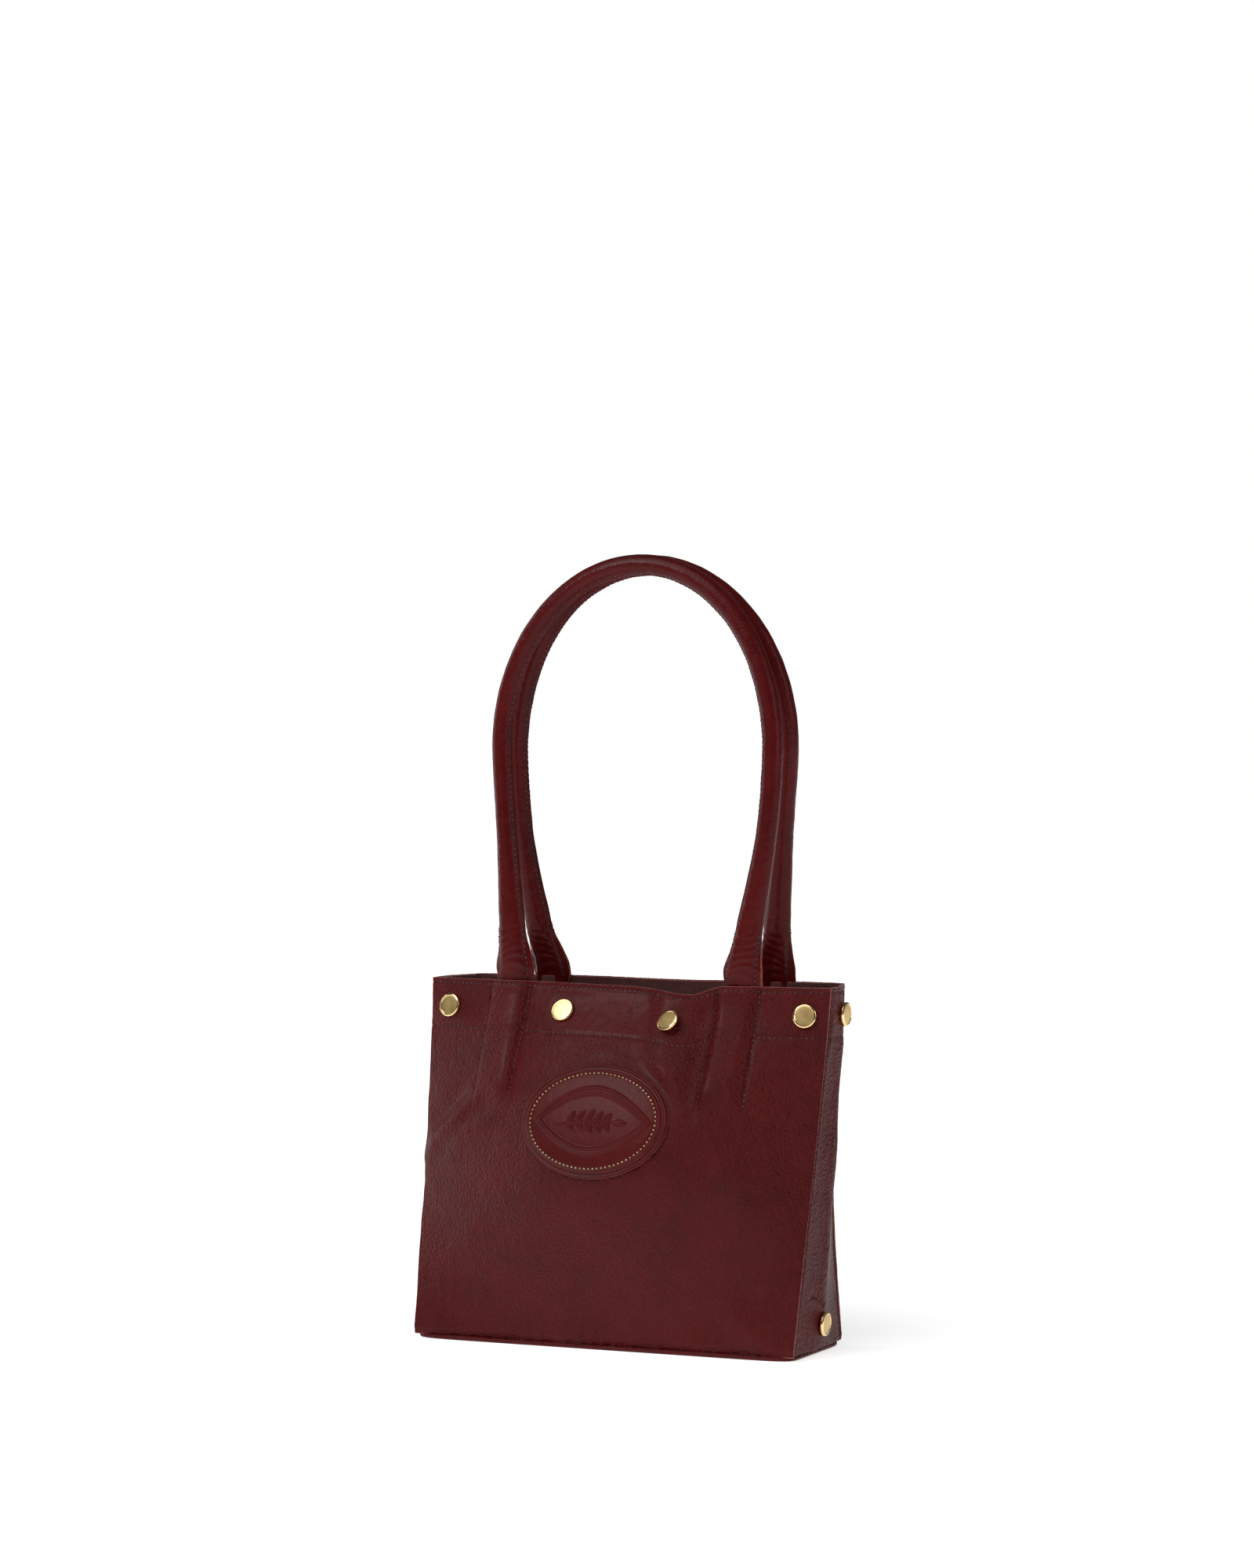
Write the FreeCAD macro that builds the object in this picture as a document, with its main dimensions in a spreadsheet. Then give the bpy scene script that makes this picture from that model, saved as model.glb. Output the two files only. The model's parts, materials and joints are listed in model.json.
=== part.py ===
import FreeCAD, Part
import Sketcher
import os
from math import asin, atan2, cos, degrees, hypot, pi, sin, sqrt

# Open-top satchel bag of thick leather with two rolled handles.
# Frame: millimetres, the base plate is centred on the origin, the front faces -Y, +Z is up.
# The front panel is bowed out and leans back to a narrow mouth, and the back panel is nearly upright.

V = FreeCAD.Vector
doc = FreeCAD.newDocument("satchel_bag")

# ---------------------------------------------------------------- driving dimensions
SIZES = [
    ("body_height", 222.0, "floor to the rim"),
    ("mouth_width", 270.0, "front panel width at the rim"),
    ("base_width", 254.0, "panel width at the base"),
    ("base_depth", 85.0, "front to back at the base"),
    ("back_taper", 2.0, "back panel half width lost from base to rim"),
    ("mouth_depth", 47.0, "gusset depth at the rim"),
    ("mouth_setback", 24.5, "mouth centre behind the base centre"),
    ("front_bulge", 38.0, "fullness of the front panel"),
    ("back_bulge", 6.0, "fullness of the back panel"),
    ("front_rim_bow", 8.0, "bow of the front rim between its corners"),
    ("back_rim_bow", 14.0, "bow of the back rim between its corners"),
    ("back_tuck", 7.0, "back seams pulled in at half height"),
    ("leather", 1.7, "panel leather thickness"),
    ("facing_leather", 1.3, "hem facing thickness"),
    ("layer_gap", 0.3, "clearance between layers"),
    ("facing_end_gap", 1.0, "hem facing short of the gusset wall"),
    ("seam_allowance", 9.0, "gusset flange behind a panel edge"),
    ("facing_height", 30.0, "hem facing height"),
    ("base_thickness", 3.0, "base panel thickness"),
    ("base_edge_radius", 2.0, "rolled lower edge of the base"),
    ("base_corner_radius", 8.0, "plan radius of the base corners"),
    ("board_thickness", 2.5, "base stiffener thickness"),
    ("board_margin", 6.0, "stiffener edge inside the panels"),
    ("leg_spacing", 154.0, "handle leg centres at the rim"),
    ("handle_diameter", 12.4, "rolled handle outside diameter"),
    ("handle_wall", 1.6, "handle leather thickness"),
    ("handle_drop", 267.0, "rim to the top of a handle"),
    ("arch_half_width", 91.0, "handle arch centreline half width"),
    ("arch_rise", 109.0, "handle arch centreline height over its widest level"),
    ("handle_rest_gap", 1.6, "clearance between the handles at the top"),
    ("handle_end_width", 19.0, "flattened handle end width"),
    ("handle_end_thick", 4.6, "flattened handle end thickness"),
    ("flare_length", 26.0, "length over which the handle flattens"),
    ("hinge_rise", 9.0, "handle bend line above the rim"),
    ("hinge_gap", 0.35, "clearance at the handle bend line"),
    ("swing_limit", 140.0, "outward swing of a handle in degrees"),
    ("tab_width", 20.0, "handle tab width behind a panel"),
    ("tab_length", 70.0, "handle tab length below the rim"),
    ("tab_thick", 2.6, "handle tab thickness"),
    ("patch_leather", 1.3, "tab patch thickness"),
    ("patch_border", 6.0, "tab patch margin round a tab"),
    ("stud_diameter", 15.0, "stud cap diameter"),
    ("stud_thick", 2.2, "stud cap thickness"),
    ("stud_edge", 0.7, "stud cap edge rounding"),
    ("post_diameter", 3.2, "rivet post diameter"),
    ("post_clearance", 0.3, "radial gap round a rivet post"),
    ("rivet_head", 9.0, "rivet head diameter inside the bag"),
    ("rivet_head_thick", 0.9, "rivet head thickness"),
    ("stud_drop", 17.0, "stud centres below the rim"),
    ("stud_gap", 0.45, "clearance under a stud cap"),
    ("stud_margin", 14.4, "outer studs in from the panel corners"),
    ("inner_stud_x", 37.0, "inner studs from the middle"),
    ("low_stud_z", 18.0, "lower gusset studs above the floor"),
    ("badge_width", 90.0, "oval badge face width"),
    ("badge_height", 60.0, "oval badge face height"),
    ("badge_border", 3.4, "backing oval beyond the face"),
    ("badge_leather", 1.6, "badge layer thickness"),
    ("badge_z", 140.0, "badge centre above the floor"),
]

sheet = doc.addObject("Spreadsheet::Sheet", "Sizes")
for row, (alias, value, meaning) in enumerate(SIZES, start=1):
    sheet.set(f"A{row}", meaning)
    sheet.set(f"B{row}", str(value))
    sheet.setAlias(f"B{row}", alias)
doc.recompute()


class Named:
    """The sheet's values as attributes, so the shaping code reads the same cells."""


d = Named()
for alias, _, _ in SIZES:
    setattr(d, alias, float(getattr(sheet, alias)))

STATIONS = 9                       # levels that a panel's loft passes through
FACING_STATIONS = 4
TAB_STATIONS = 6
FLARE_STATIONS = 5
RIM_STEPS = 24                     # directions in which a stud cap's rim is tried for fit
PANEL_FOOT = d.base_thickness + d.layer_gap
HALF_MOUTH = d.mouth_depth / 2
LAYER = d.leather + d.layer_gap    # one panel layer and its clearance
NODES = []


# how the shape changes with height: 1 is in proportion, above 1 mostly low down, below 1 early
LEAN_POWER = 1.25                  # front seams coming back from the base to the rim
BELLY_HEIGHT_POWER = 1.1           # above 1 raises the fullest level of the front
BELLY_POWER = 1.4                  # above 1 flattens the front near the rim and the base
FOLD_POWER = 0.4                   # gusset fold reaching its full width

# ---------------------------------------------------------------- shape of the body
def share(z):
    """Height as a share of the body, held at 1 above the rim."""
    return min(z / d.body_height, 1.0)


def front_corner_x(z):
    return d.base_width / 2 + (d.mouth_width - d.base_width) / 2 * share(z)


def front_corner_y(z):
    top = d.mouth_setback - HALF_MOUTH
    return top - (top + d.base_depth / 2) * (1 - share(z)) ** LEAN_POWER


def back_corner_x(z):
    narrowing = d.back_tuck * sin(pi * share(z))
    return d.base_width / 2 - d.back_taper * share(z) - narrowing


def back_corner_y(z):
    top = d.mouth_setback + HALF_MOUTH
    return d.base_depth / 2 + (top - d.base_depth / 2) * share(z)


def fold_x(z):
    """Half width at the gusset's middle fold."""
    return d.base_width / 2 + (d.mouth_width - d.base_width) / 2 * share(z) ** FOLD_POWER


def fold_y(z):
    return (front_corner_y(z) + back_corner_y(z)) / 2


def bow(x, half, rise):
    """Height over its chord of an arc with the given half chord and rise."""
    if rise < 1e-6:
        return 0.0
    radius = (half * half + rise * rise) / (2 * rise)
    return sqrt(max(radius * radius - x * x, 0.0)) - (radius - rise)


def front_rise(z):
    fullness = max(sin(pi * share(z) ** BELLY_HEIGHT_POWER), 0.0) ** BELLY_POWER
    return d.front_rim_bow * share(z) + d.front_bulge * fullness


def back_rise(z):
    return d.back_rim_bow * share(z) + d.back_bulge * sin(pi * share(z))


def front_y(x, z, inset=0.0):
    return front_corner_y(z) - bow(x, front_corner_x(z), front_rise(z)) + inset


def back_y(x, z, inset=0.0):
    return back_corner_y(z) + bow(x, back_corner_x(z), back_rise(z)) - inset


def side_x(y, z, inset=0.0):
    """Outer half width of the gusset wall at a depth y, less an inset."""
    middle = fold_y(z)
    if y < middle:
        run = (middle - y) / (middle - front_corner_y(z) - LAYER)
        return fold_x(z) + (front_corner_x(z) - fold_x(z)) * run - inset
    run = (y - middle) / (back_corner_y(z) - LAYER - middle)
    return fold_x(z) + (back_corner_x(z) - fold_x(z)) * run - inset


def wall_slope(z):
    """How far the gusset wall comes in for each millimetre behind its fold."""
    depth = back_corner_y(z) - LAYER - fold_y(z)
    return (fold_x(z) - back_corner_x(z)) / depth


# ---------------------------------------------------------------- helpers
def levels(low, high, count):
    return [low + (high - low) * i / (count - 1) for i in range(count)]


def polygon(points):
    return Part.makePolygon([V(*p) for p in points + points[:1]])


def strip_wire(face_y, x_low, x_high, z, inset, thick):
    """Closed section of a bowed strip: outer arc, end, inner arc, end."""
    middle = (x_low + x_high) / 2
    rows = []
    for depth in (inset, inset + thick):
        rows.append([V(x, face_y(x, z, depth), z) for x in (x_low, middle, x_high)])
    outer = Part.Arc(*rows[0]).toShape()
    inner = Part.Arc(rows[1][2], rows[1][1], rows[1][0]).toShape()
    end_high = Part.makeLine(rows[0][2], rows[1][2])
    end_low = Part.makeLine(rows[1][0], rows[0][0])
    return Part.Wire([outer, end_high, inner, end_low])


def loft(wires):
    solid = Part.makeLoft(wires, True, False)
    if solid.Volume < 0:
        solid.reverse()
    return solid


def add_feature(label, shape):
    feature = doc.addObject("Part::Feature", label)
    feature.Label = label
    feature.Shape = shape
    NODES.append(feature)
    return feature


def drilled(shape, studs):
    """A layer with a clearance hole for each rivet post."""
    radius = d.post_diameter / 2 + d.post_clearance
    reach = d.stud_drop
    for point, normal, _ in studs:
        hole = Part.makeCylinder(radius, 2 * reach, point - normal * reach, normal)
        shape = shape.cut(hole)
    return shape


# ---------------------------------------------------------------- studs: where they sit
SLOPE_STEP = 0.5                   # half span over which a slope is measured


def cap_lift(face_y, outward, point, normal):
    """How far a flat cap stands off a hollow or bowed face so that its rim clears it."""
    across = V(0, 0, 1).cross(normal)
    across.normalize()
    upright = normal.cross(across)
    most = 0.0
    for step in range(RIM_STEPS):
        angle = 2 * pi * step / RIM_STEPS
        arm = across * cos(angle) + upright * sin(angle)
        rim = point + arm * (d.stud_diameter / 2)
        most = max(most, (face_y(rim.x, rim.z) - rim.y) * outward * abs(normal.y))
    return most + d.stud_gap


def face_seat(face_y, outward, x, z):
    """Point, outward normal and cap lift on a long face; outward is -1 front, +1 back."""
    ahead = face_y(x + SLOPE_STEP, z)
    behind = face_y(x - SLOPE_STEP, z)
    above = face_y(x, z + SLOPE_STEP)
    below = face_y(x, z - SLOPE_STEP)
    slope_x = (ahead - behind) / (2 * SLOPE_STEP)
    slope_z = (above - below) / (2 * SLOPE_STEP)
    normal = V(-outward * slope_x, outward, -outward * slope_z)
    normal.normalize()
    point = V(x, face_y(x, z), z)
    return point, normal, cap_lift(face_y, outward, point, normal)


def gusset_seat(side, z):
    """Seat on the gusset fold; side is +1 on the right and -1 on the left."""
    slope_z = (fold_x(z + SLOPE_STEP) - fold_x(z - SLOPE_STEP)) / (2 * SLOPE_STEP)
    normal = V(side, 0, -slope_z)
    normal.normalize()
    return V(side * fold_x(z), fold_y(z), z), normal, d.layer_gap


def stud_row(face_y, outward, corner_x):
    clear_of_tab = d.leg_spacing / 2 + (d.tab_width + d.rivet_head) / 2 + d.layer_gap
    outer = max(corner_x(STUD_Z) - d.stud_margin, clear_of_tab)
    places = [-outer, -d.inner_stud_x, d.inner_stud_x, outer]
    return [face_seat(face_y, outward, x, STUD_Z) for x in places]


STUD_Z = d.body_height - d.stud_drop
FRONT_STUDS = stud_row(front_y, -1, front_corner_x)
BACK_STUDS = stud_row(back_y, 1, back_corner_x)
GUSSET_STUDS = {side: [gusset_seat(side, z) for z in (STUD_Z, d.low_stud_z)] for side in (-1, 1)}


# ---------------------------------------------------------------- panels
def panel(label, face_y, corner_x, studs):
    wires = []
    for z in levels(PANEL_FOOT, d.body_height, STATIONS):
        half = corner_x(z)
        wires.append(strip_wire(face_y, -half, half, z, 0, d.leather))
    add_feature(label, drilled(loft(wires), studs))


panel("front_panel", front_y, front_corner_x, FRONT_STUDS)
panel("back_panel", back_y, back_corner_x, BACK_STUDS)


def gusset(label, side):
    """A side wall folded at its middle, with a flange behind each panel edge."""
    wires = []
    for z in levels(PANEL_FOOT, d.body_height, STATIONS):
        front_x = front_corner_x(z)
        back_x = back_corner_x(z)
        thick = d.leather
        front_in = front_x - d.seam_allowance
        back_in = back_x - d.seam_allowance
        front_turn = front_y(front_x, z, LAYER + thick)
        back_turn = back_y(back_x, z, LAYER + thick)
        outline = [
            (front_in, front_y(front_in, z, LAYER)),
            (front_x, front_y(front_x, z, LAYER)),
            (fold_x(z), fold_y(z)),
            (back_x, back_y(back_x, z, LAYER)),
            (back_in, back_y(back_in, z, LAYER)),
            (back_in, back_y(back_in, z, LAYER + thick)),
            (side_x(back_turn, z, thick), back_turn),
            (fold_x(z) - thick, fold_y(z)),
            (side_x(front_turn, z, thick), front_turn),
            (front_in, front_y(front_in, z, LAYER + thick)),
        ]
        wires.append(polygon([(side * x, y, z) for x, y in outline]))
    near_studs = [seat for seat in FRONT_STUDS + BACK_STUDS if seat[0].x * side > 0]
    add_feature(label, drilled(loft(wires), GUSSET_STUDS[side] + near_studs))


gusset("left_gusset", -1)
gusset("right_gusset", 1)

# ---------------------------------------------------------------- hem facings inside the rim
FACING_INSET = LAYER + max(d.tab_thick, d.leather) + d.layer_gap
FACING_FOOT = d.body_height - d.facing_height
FACING_REACH = FACING_INSET + d.facing_leather


def long_facing(label, face_y, corner_x, studs):
    wires = []
    for z in levels(FACING_FOOT, d.body_height, FACING_STATIONS):
        half = corner_x(z) - LAYER - d.facing_end_gap
        wires.append(strip_wire(face_y, -half, half, z, FACING_INSET, d.facing_leather))
    add_feature(label, drilled(loft(wires), studs))


long_facing("front_facing", front_y, front_corner_x, FRONT_STUDS)
long_facing("back_facing", back_y, back_corner_x, BACK_STUDS)


def side_facing(label, side):
    wires = []
    for z in levels(FACING_FOOT, d.body_height, FACING_STATIONS):
        end = d.layer_gap * 2
        front_end = front_y(front_corner_x(z), z, FACING_REACH + end)
        back_end = back_y(back_corner_x(z), z, FACING_REACH + end)
        rows = []
        for inset in (LAYER, LAYER + d.facing_leather):
            rows.append([(side_x(y, z, inset), y) for y in (front_end, fold_y(z), back_end)])
        outline = rows[0] + rows[1][::-1]
        wires.append(polygon([(side * x, y, z) for x, y in outline]))
    add_feature(label, drilled(loft(wires), GUSSET_STUDS[side][:1]))


side_facing("left_facing", -1)
side_facing("right_facing", 1)

# ---------------------------------------------------------------- base panel and its board
SAME_LEVEL = 1e-3                  # heights closer than this are one level


def origin_plane(body, role):
    for item in body.Origin.OriginFeatures:
        if item.Role == role:
            return item
    raise ValueError(role)


def new_body(label):
    body = doc.addObject("PartDesign::Body", label)
    body.Label = label
    NODES.append(body)
    return body


def rectangle_sketch(body, name, width, depth):
    """A centred rectangle whose two sizes are expressions on the sheet."""
    sketch = body.newObject("Sketcher::SketchObject", name)
    sketch.AttachmentSupport = [(origin_plane(body, "XY_Plane"), "")]
    sketch.MapMode = "FlatFace"
    half_x = d.base_width / 2
    half_y = d.base_depth / 2
    corners = [V(x * half_x, y * half_y, 0) for x, y in ((-1, -1), (1, -1), (1, 1), (-1, 1))]
    for start, end in zip(corners, corners[1:] + corners[:1]):
        sketch.addGeometry(Part.LineSegment(start, end), False)
    for edge in range(4):
        sketch.addConstraint(Sketcher.Constraint("Coincident", edge, 2, (edge + 1) % 4, 1))
    for edge, kind in enumerate(["Horizontal", "Vertical", "Horizontal", "Vertical"]):
        sketch.addConstraint(Sketcher.Constraint(kind, edge))
    sketch.addConstraint(Sketcher.Constraint("Symmetric", 0, 1, 1, 2, -1, 1))
    first_width = Sketcher.Constraint("DistanceX", 0, 1, 0, 2, 2 * half_x)
    first_depth = Sketcher.Constraint("DistanceY", 1, 1, 1, 2, 2 * half_y)
    across = sketch.addConstraint(first_width)
    along = sketch.addConstraint(first_depth)
    sketch.setExpression(f"Constraints[{across}]", width)
    sketch.setExpression(f"Constraints[{along}]", depth)
    return sketch


def slab(label, width, depth, thick, corner):
    """A padded plate with rounded plan corners."""
    body = new_body(label)
    sketch = rectangle_sketch(body, label + "_outline", width, depth)
    pad = body.newObject("PartDesign::Pad", label + "_pad")
    pad.Profile = sketch
    pad.setExpression("Length", thick)
    doc.recompute()
    uprights = []
    for index, edge in enumerate(pad.Shape.Edges, start=1):
        ends = [vertex.Point for vertex in edge.Vertexes]
        if abs(ends[0].z - ends[1].z) > SAME_LEVEL:
            uprights.append(f"Edge{index}")
    rounding = body.newObject("PartDesign::Fillet", label + "_corners")
    rounding.Base = (pad, uprights)
    rounding.setExpression("Radius", corner)
    doc.recompute()
    return body, rounding


base_body, base_corners = slab(
    "base_panel",
    "Sizes.base_width",
    "Sizes.base_depth",
    "Sizes.base_thickness",
    "Sizes.base_corner_radius",
)
under_edges = []
for index, edge in enumerate(base_corners.Shape.Edges, start=1):
    if all(abs(vertex.Point.z) < SAME_LEVEL for vertex in edge.Vertexes):
        under_edges.append(f"Edge{index}")
roll = base_body.newObject("PartDesign::Fillet", "base_panel_roll")
roll.Base = (base_corners, under_edges)
MOST_OF_PLATE = 0.8                # share of the plate's thickness that its lower roll may take
roll.setExpression("Radius", f"min(Sizes.base_edge_radius; Sizes.base_thickness * {MOST_OF_PLATE})")

board_body, board_corners = slab(
    "base_stiffener",
    "Sizes.base_width - 2 * Sizes.board_margin - 2 * Sizes.leather",
    "Sizes.base_depth - 2 * Sizes.board_margin - 2 * Sizes.leather",
    "Sizes.board_thickness",
    "max(Sizes.base_corner_radius - Sizes.board_margin / 2; 1)",
)
board_body.setExpression(".Placement.Base.z", "Sizes.base_thickness")

# ---------------------------------------------------------------- handle tabs behind the panels
HINGE_Z = d.body_height + d.hinge_rise
TAB_INSET = LAYER
TAB_TOP = HINGE_Z - d.handle_end_thick / 2 - d.hinge_gap
LEG_X = d.leg_spacing / 2


def hinge_y(face_y):
    inset = TAB_INSET + d.tab_thick / 2
    return face_y(LEG_X, d.body_height, inset)


def swung_leg_room(face_y, centre_x):
    """Block that the flat end of a leg and its clearance fill at the outward limit."""
    outward = -1 if face_y is front_y else 1
    reach = d.handle_end_thick / 2 + d.hinge_gap
    length = d.tab_width + 2 * d.layer_gap
    low_corner = V(centre_x - length / 2, -reach, 0)
    block = Part.makeBox(length, d.handle_diameter, d.flare_length, low_corner)
    if outward > 0:
        block = block.mirror(V(centre_x, 0, 0), V(0, 1, 0))
    block.rotate(V(0, 0, 0), V(1, 0, 0), -outward * d.swing_limit)
    block.translate(V(0, hinge_y(face_y), HINGE_Z))
    return block


def tab(label, face_y, centre_x):
    """A flattened handle tongue; above the rim it stands straight up to the bend line."""
    low_x = centre_x - d.tab_width / 2
    high_x = centre_x + d.tab_width / 2
    wires = []
    for z in levels(d.body_height - d.tab_length, d.body_height, TAB_STATIONS):
        wires.append(strip_wire(face_y, low_x, high_x, z, TAB_INSET, d.tab_thick))
    tongue = loft(wires)
    rim_section = strip_wire(face_y, low_x, high_x, d.body_height, TAB_INSET, d.tab_thick)
    stub = Part.Face(rim_section).extrude(V(0, 0, TAB_TOP - d.body_height))
    whole = tongue.fuse(stub).removeSplitter()
    add_feature(label, whole.cut(swung_leg_room(face_y, centre_x)))


def tab_patch(label, face_y, centre_x):
    """A stitched leather patch that covers the lower part of a tab inside the bag."""
    low_x = centre_x - d.tab_width / 2 - d.patch_border
    high_x = centre_x + d.tab_width / 2 + d.patch_border
    foot = d.body_height - d.tab_length - d.patch_border
    wires = []
    for z in levels(foot, FACING_FOOT - d.layer_gap * 2, FACING_STATIONS):
        inset = TAB_INSET + d.tab_thick + d.layer_gap
        wires.append(strip_wire(face_y, low_x, high_x, z, inset, d.patch_leather))
    add_feature(label, loft(wires))


for face, face_y in (("front", front_y), ("back", back_y)):
    for hand, sign in (("left", -1), ("right", 1)):
        tab(f"{face}_{hand}_handle_tab", face_y, sign * LEG_X)
        tab_patch(f"{face}_{hand}_tab_patch", face_y, sign * LEG_X)

# ---------------------------------------------------------------- rolled handles
ARCH_Z = d.body_height + d.handle_drop - d.handle_diameter / 2 - d.arch_rise


def arch_tangent():
    """Where a straight leg from the bend line meets the elliptical arch, and the leg's lean."""
    squash = d.arch_half_width / d.arch_rise
    drop = (ARCH_Z - HINGE_Z) * squash
    reach = hypot(LEG_X, drop)
    lean = asin(d.arch_half_width / reach) - atan2(LEG_X, drop)
    tangent_x = d.arch_half_width * cos(lean)
    tangent_z = ARCH_Z - d.arch_rise * sin(lean)
    return tangent_x, tangent_z, atan2(tangent_x - LEG_X, tangent_z - HINGE_Z)


def handle_axis(lift):
    """Centreline in the plane y = 0: up one leg, over the elliptical arch, down the other."""
    tangent_x, tangent_z, lean = arch_tangent()
    foot_z = HINGE_Z + lift
    foot_x = LEG_X + lift * sin(lean) / cos(lean)
    middle = V(0, 0, ARCH_Z)
    crown = middle + V(0, 0, d.arch_rise)
    ellipse = Part.Ellipse(crown, middle + V(d.arch_half_width, 0, 0), middle)
    ends = [ellipse.parameter(V(x, 0, tangent_z)) for x in (-tangent_x, tangent_x)]
    arch = ellipse.toShape(min(ends), max(ends))
    if arch.valueAt((arch.FirstParameter + arch.LastParameter) / 2).z < ARCH_Z:
        arch = ellipse.toShape(max(ends), min(ends) + 2 * pi)
    left_leg = Part.makeLine(V(-foot_x, 0, foot_z), V(-tangent_x, 0, tangent_z))
    right_leg = Part.makeLine(V(tangent_x, 0, tangent_z), V(foot_x, 0, foot_z))
    return Part.Wire(Part.__sortEdges__([left_leg, arch, right_leg]))


def tube_along(axis, radius):
    lean = arch_tangent()[2]
    left = [vertex.Point for vertex in axis.Vertexes if vertex.Point.x < 0]
    start = min(left, key=lambda point: point.z)
    ring = Part.makeCircle(radius, start, V(-sin(lean), 0, cos(lean)))
    solid = axis.makePipeShell([Part.Wire([ring])], True, False)
    if solid.Volume < 0:
        solid.reverse()
    return solid


def oval_wire(half_width, half_thick, centre, along):
    """Ellipse square to a direction in the plane y = 0, its short axis along Y."""
    curve = Part.Ellipse(V(0, 0, 0), half_width, half_thick)
    wire = Part.Wire([curve.toShape()])
    turn = FreeCAD.Rotation(along.cross(V(0, -1, 0)), V(0, -1, 0), along, "ZXY")
    wire.Placement = FreeCAD.Placement(centre, turn)
    return wire


def flared_leg(sign):
    """The leg's foot: round at the top, flattening to the width that is sewn in."""
    lean = arch_tangent()[2]
    along = V(sign * sin(lean), 0, cos(lean))
    wires = []
    for step in levels(0, 1, FLARE_STATIONS):
        ease = step * step * (3 - 2 * step)
        half_width = d.handle_end_width / 2 * (1 - ease) + d.handle_diameter / 2 * ease
        half_thick = d.handle_end_thick / 2 * (1 - ease) + d.handle_diameter / 2 * ease
        centre = V(sign * LEG_X, 0, HINGE_Z) + along * (step * d.flare_length)
        wires.append(oval_wire(half_width, half_thick, centre, along))
    return loft(wires)


def rounded_end(sign):
    """A half-round end about the bend line, so that the leg turns clear of its tab."""
    length = d.handle_end_width - 2 * d.layer_gap
    start = V(sign * LEG_X - length / 2, 0, HINGE_Z)
    return Part.makeCylinder(d.handle_end_thick / 2, length, start, V(1, 0, 0))


def handle_shapes():
    """Cover and core in the plane y = 0, with the bend line at HINGE_Z."""
    lift = d.flare_length * cos(arch_tangent()[2])
    axis = handle_axis(lift)
    bore = d.handle_diameter / 2 - d.handle_wall
    tube = tube_along(axis, d.handle_diameter / 2).cut(tube_along(axis, bore))
    pieces = [flared_leg(-1), flared_leg(1), rounded_end(-1), rounded_end(1)]
    cover = tube.fuse(pieces)
    core = tube_along(handle_axis(lift + d.handle_wall), bore - d.layer_gap)
    return cover, core


def lean_in(face_y):
    """Tilt about the bend line that brings a handle's top towards the middle plane."""
    sign = -1 if face_y is front_y else 1
    centre = (hinge_y(front_y) + hinge_y(back_y)) / 2
    top_y = centre + sign * (d.handle_diameter + d.handle_rest_gap) / 2
    return degrees(atan2(hinge_y(face_y) - top_y, ARCH_Z + d.arch_rise - HINGE_Z))


cover_shape, core_shape = handle_shapes()
for face, face_y in (("front", front_y), ("back", back_y)):
    place = FreeCAD.Placement(V(0, hinge_y(face_y), 0), FreeCAD.Rotation())
    turn = FreeCAD.Rotation(V(1, 0, 0), lean_in(face_y))
    tilt = FreeCAD.Placement(V(0, 0, 0), turn, V(0, 0, HINGE_Z))
    for piece, shape in (("cover", cover_shape), ("core", core_shape)):
        feature = add_feature(f"{face}_handle_{piece}", shape.copy())
        feature.Placement = place.multiply(tilt)

# ---------------------------------------------------------------- studs
def stud_cap():
    """A flat round cap with a rounded upper edge, its underside at z = 0."""
    radius = d.stud_diameter / 2
    high = d.stud_thick
    edge = min(d.stud_edge, high / 3)
    bend = edge * (1 - 1 / sqrt(2))
    shoulder = V(radius, 0, high - edge)
    corner = V(radius - bend, 0, high - bend)
    top = V(radius - edge, 0, high)
    edges = [
        Part.makeLine(V(0, 0, 0), V(radius, 0, 0)),
        Part.makeLine(V(radius, 0, 0), shoulder),
        Part.Arc(shoulder, corner, top).toShape(),
        Part.makeLine(top, V(0, 0, high)),
        Part.makeLine(V(0, 0, high), V(0, 0, 0)),
    ]
    section = Part.Face(Part.Wire(edges))
    return section.revolve(V(0, 0, 0), V(0, 0, 1), 360)


def rivet(depth, lift):
    """Post from the cap down through the layers, with a flat head on the inside."""
    post = Part.makeCylinder(d.post_diameter / 2, depth + lift, V(0, 0, -depth))
    seat = V(0, 0, -depth - d.rivet_head_thick)
    head = Part.makeCylinder(d.rivet_head / 2, d.rivet_head_thick, seat)
    return post.fuse(head).removeSplitter()


def seated(shape, point, normal):
    copy = shape.copy()
    copy.Placement = FreeCAD.Placement(point, FreeCAD.Rotation(V(0, 0, 1), normal))
    return copy


def stud_group(name, seats, depths):
    caps = []
    rivets = []
    for (point, normal, lift), depth in zip(seats, depths):
        caps.append(seated(stud_cap(), point + normal * lift, normal))
        rivets.append(seated(rivet(depth, lift), point, normal))
    add_feature(f"{name}_stud_caps", Part.makeCompound(caps))
    add_feature(f"{name}_stud_rivets", Part.makeCompound(rivets))


THROUGH_HEM = FACING_REACH + d.layer_gap * 2
FOLD_RELIEF = d.rivet_head / 2 * wall_slope(STUD_Z)
THROUGH_SIDE_HEM = LAYER + d.facing_leather + FOLD_RELIEF + d.layer_gap
THROUGH_GUSSET = d.leather + d.rivet_head / 2 * wall_slope(d.low_stud_z) + d.layer_gap * 2
stud_group("front", FRONT_STUDS, [THROUGH_HEM] * len(FRONT_STUDS))
stud_group("back", BACK_STUDS, [THROUGH_HEM] * len(BACK_STUDS))
for hand, side in (("left", -1), ("right", 1)):
    stud_group(f"{hand}_gusset", GUSSET_STUDS[side], [THROUGH_SIDE_HEM, THROUGH_GUSSET])

# ---------------------------------------------------------------- oval badge
BADGE_SPARE = 4.0                  # bowed sheet beyond the oval before it is punched out


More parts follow.
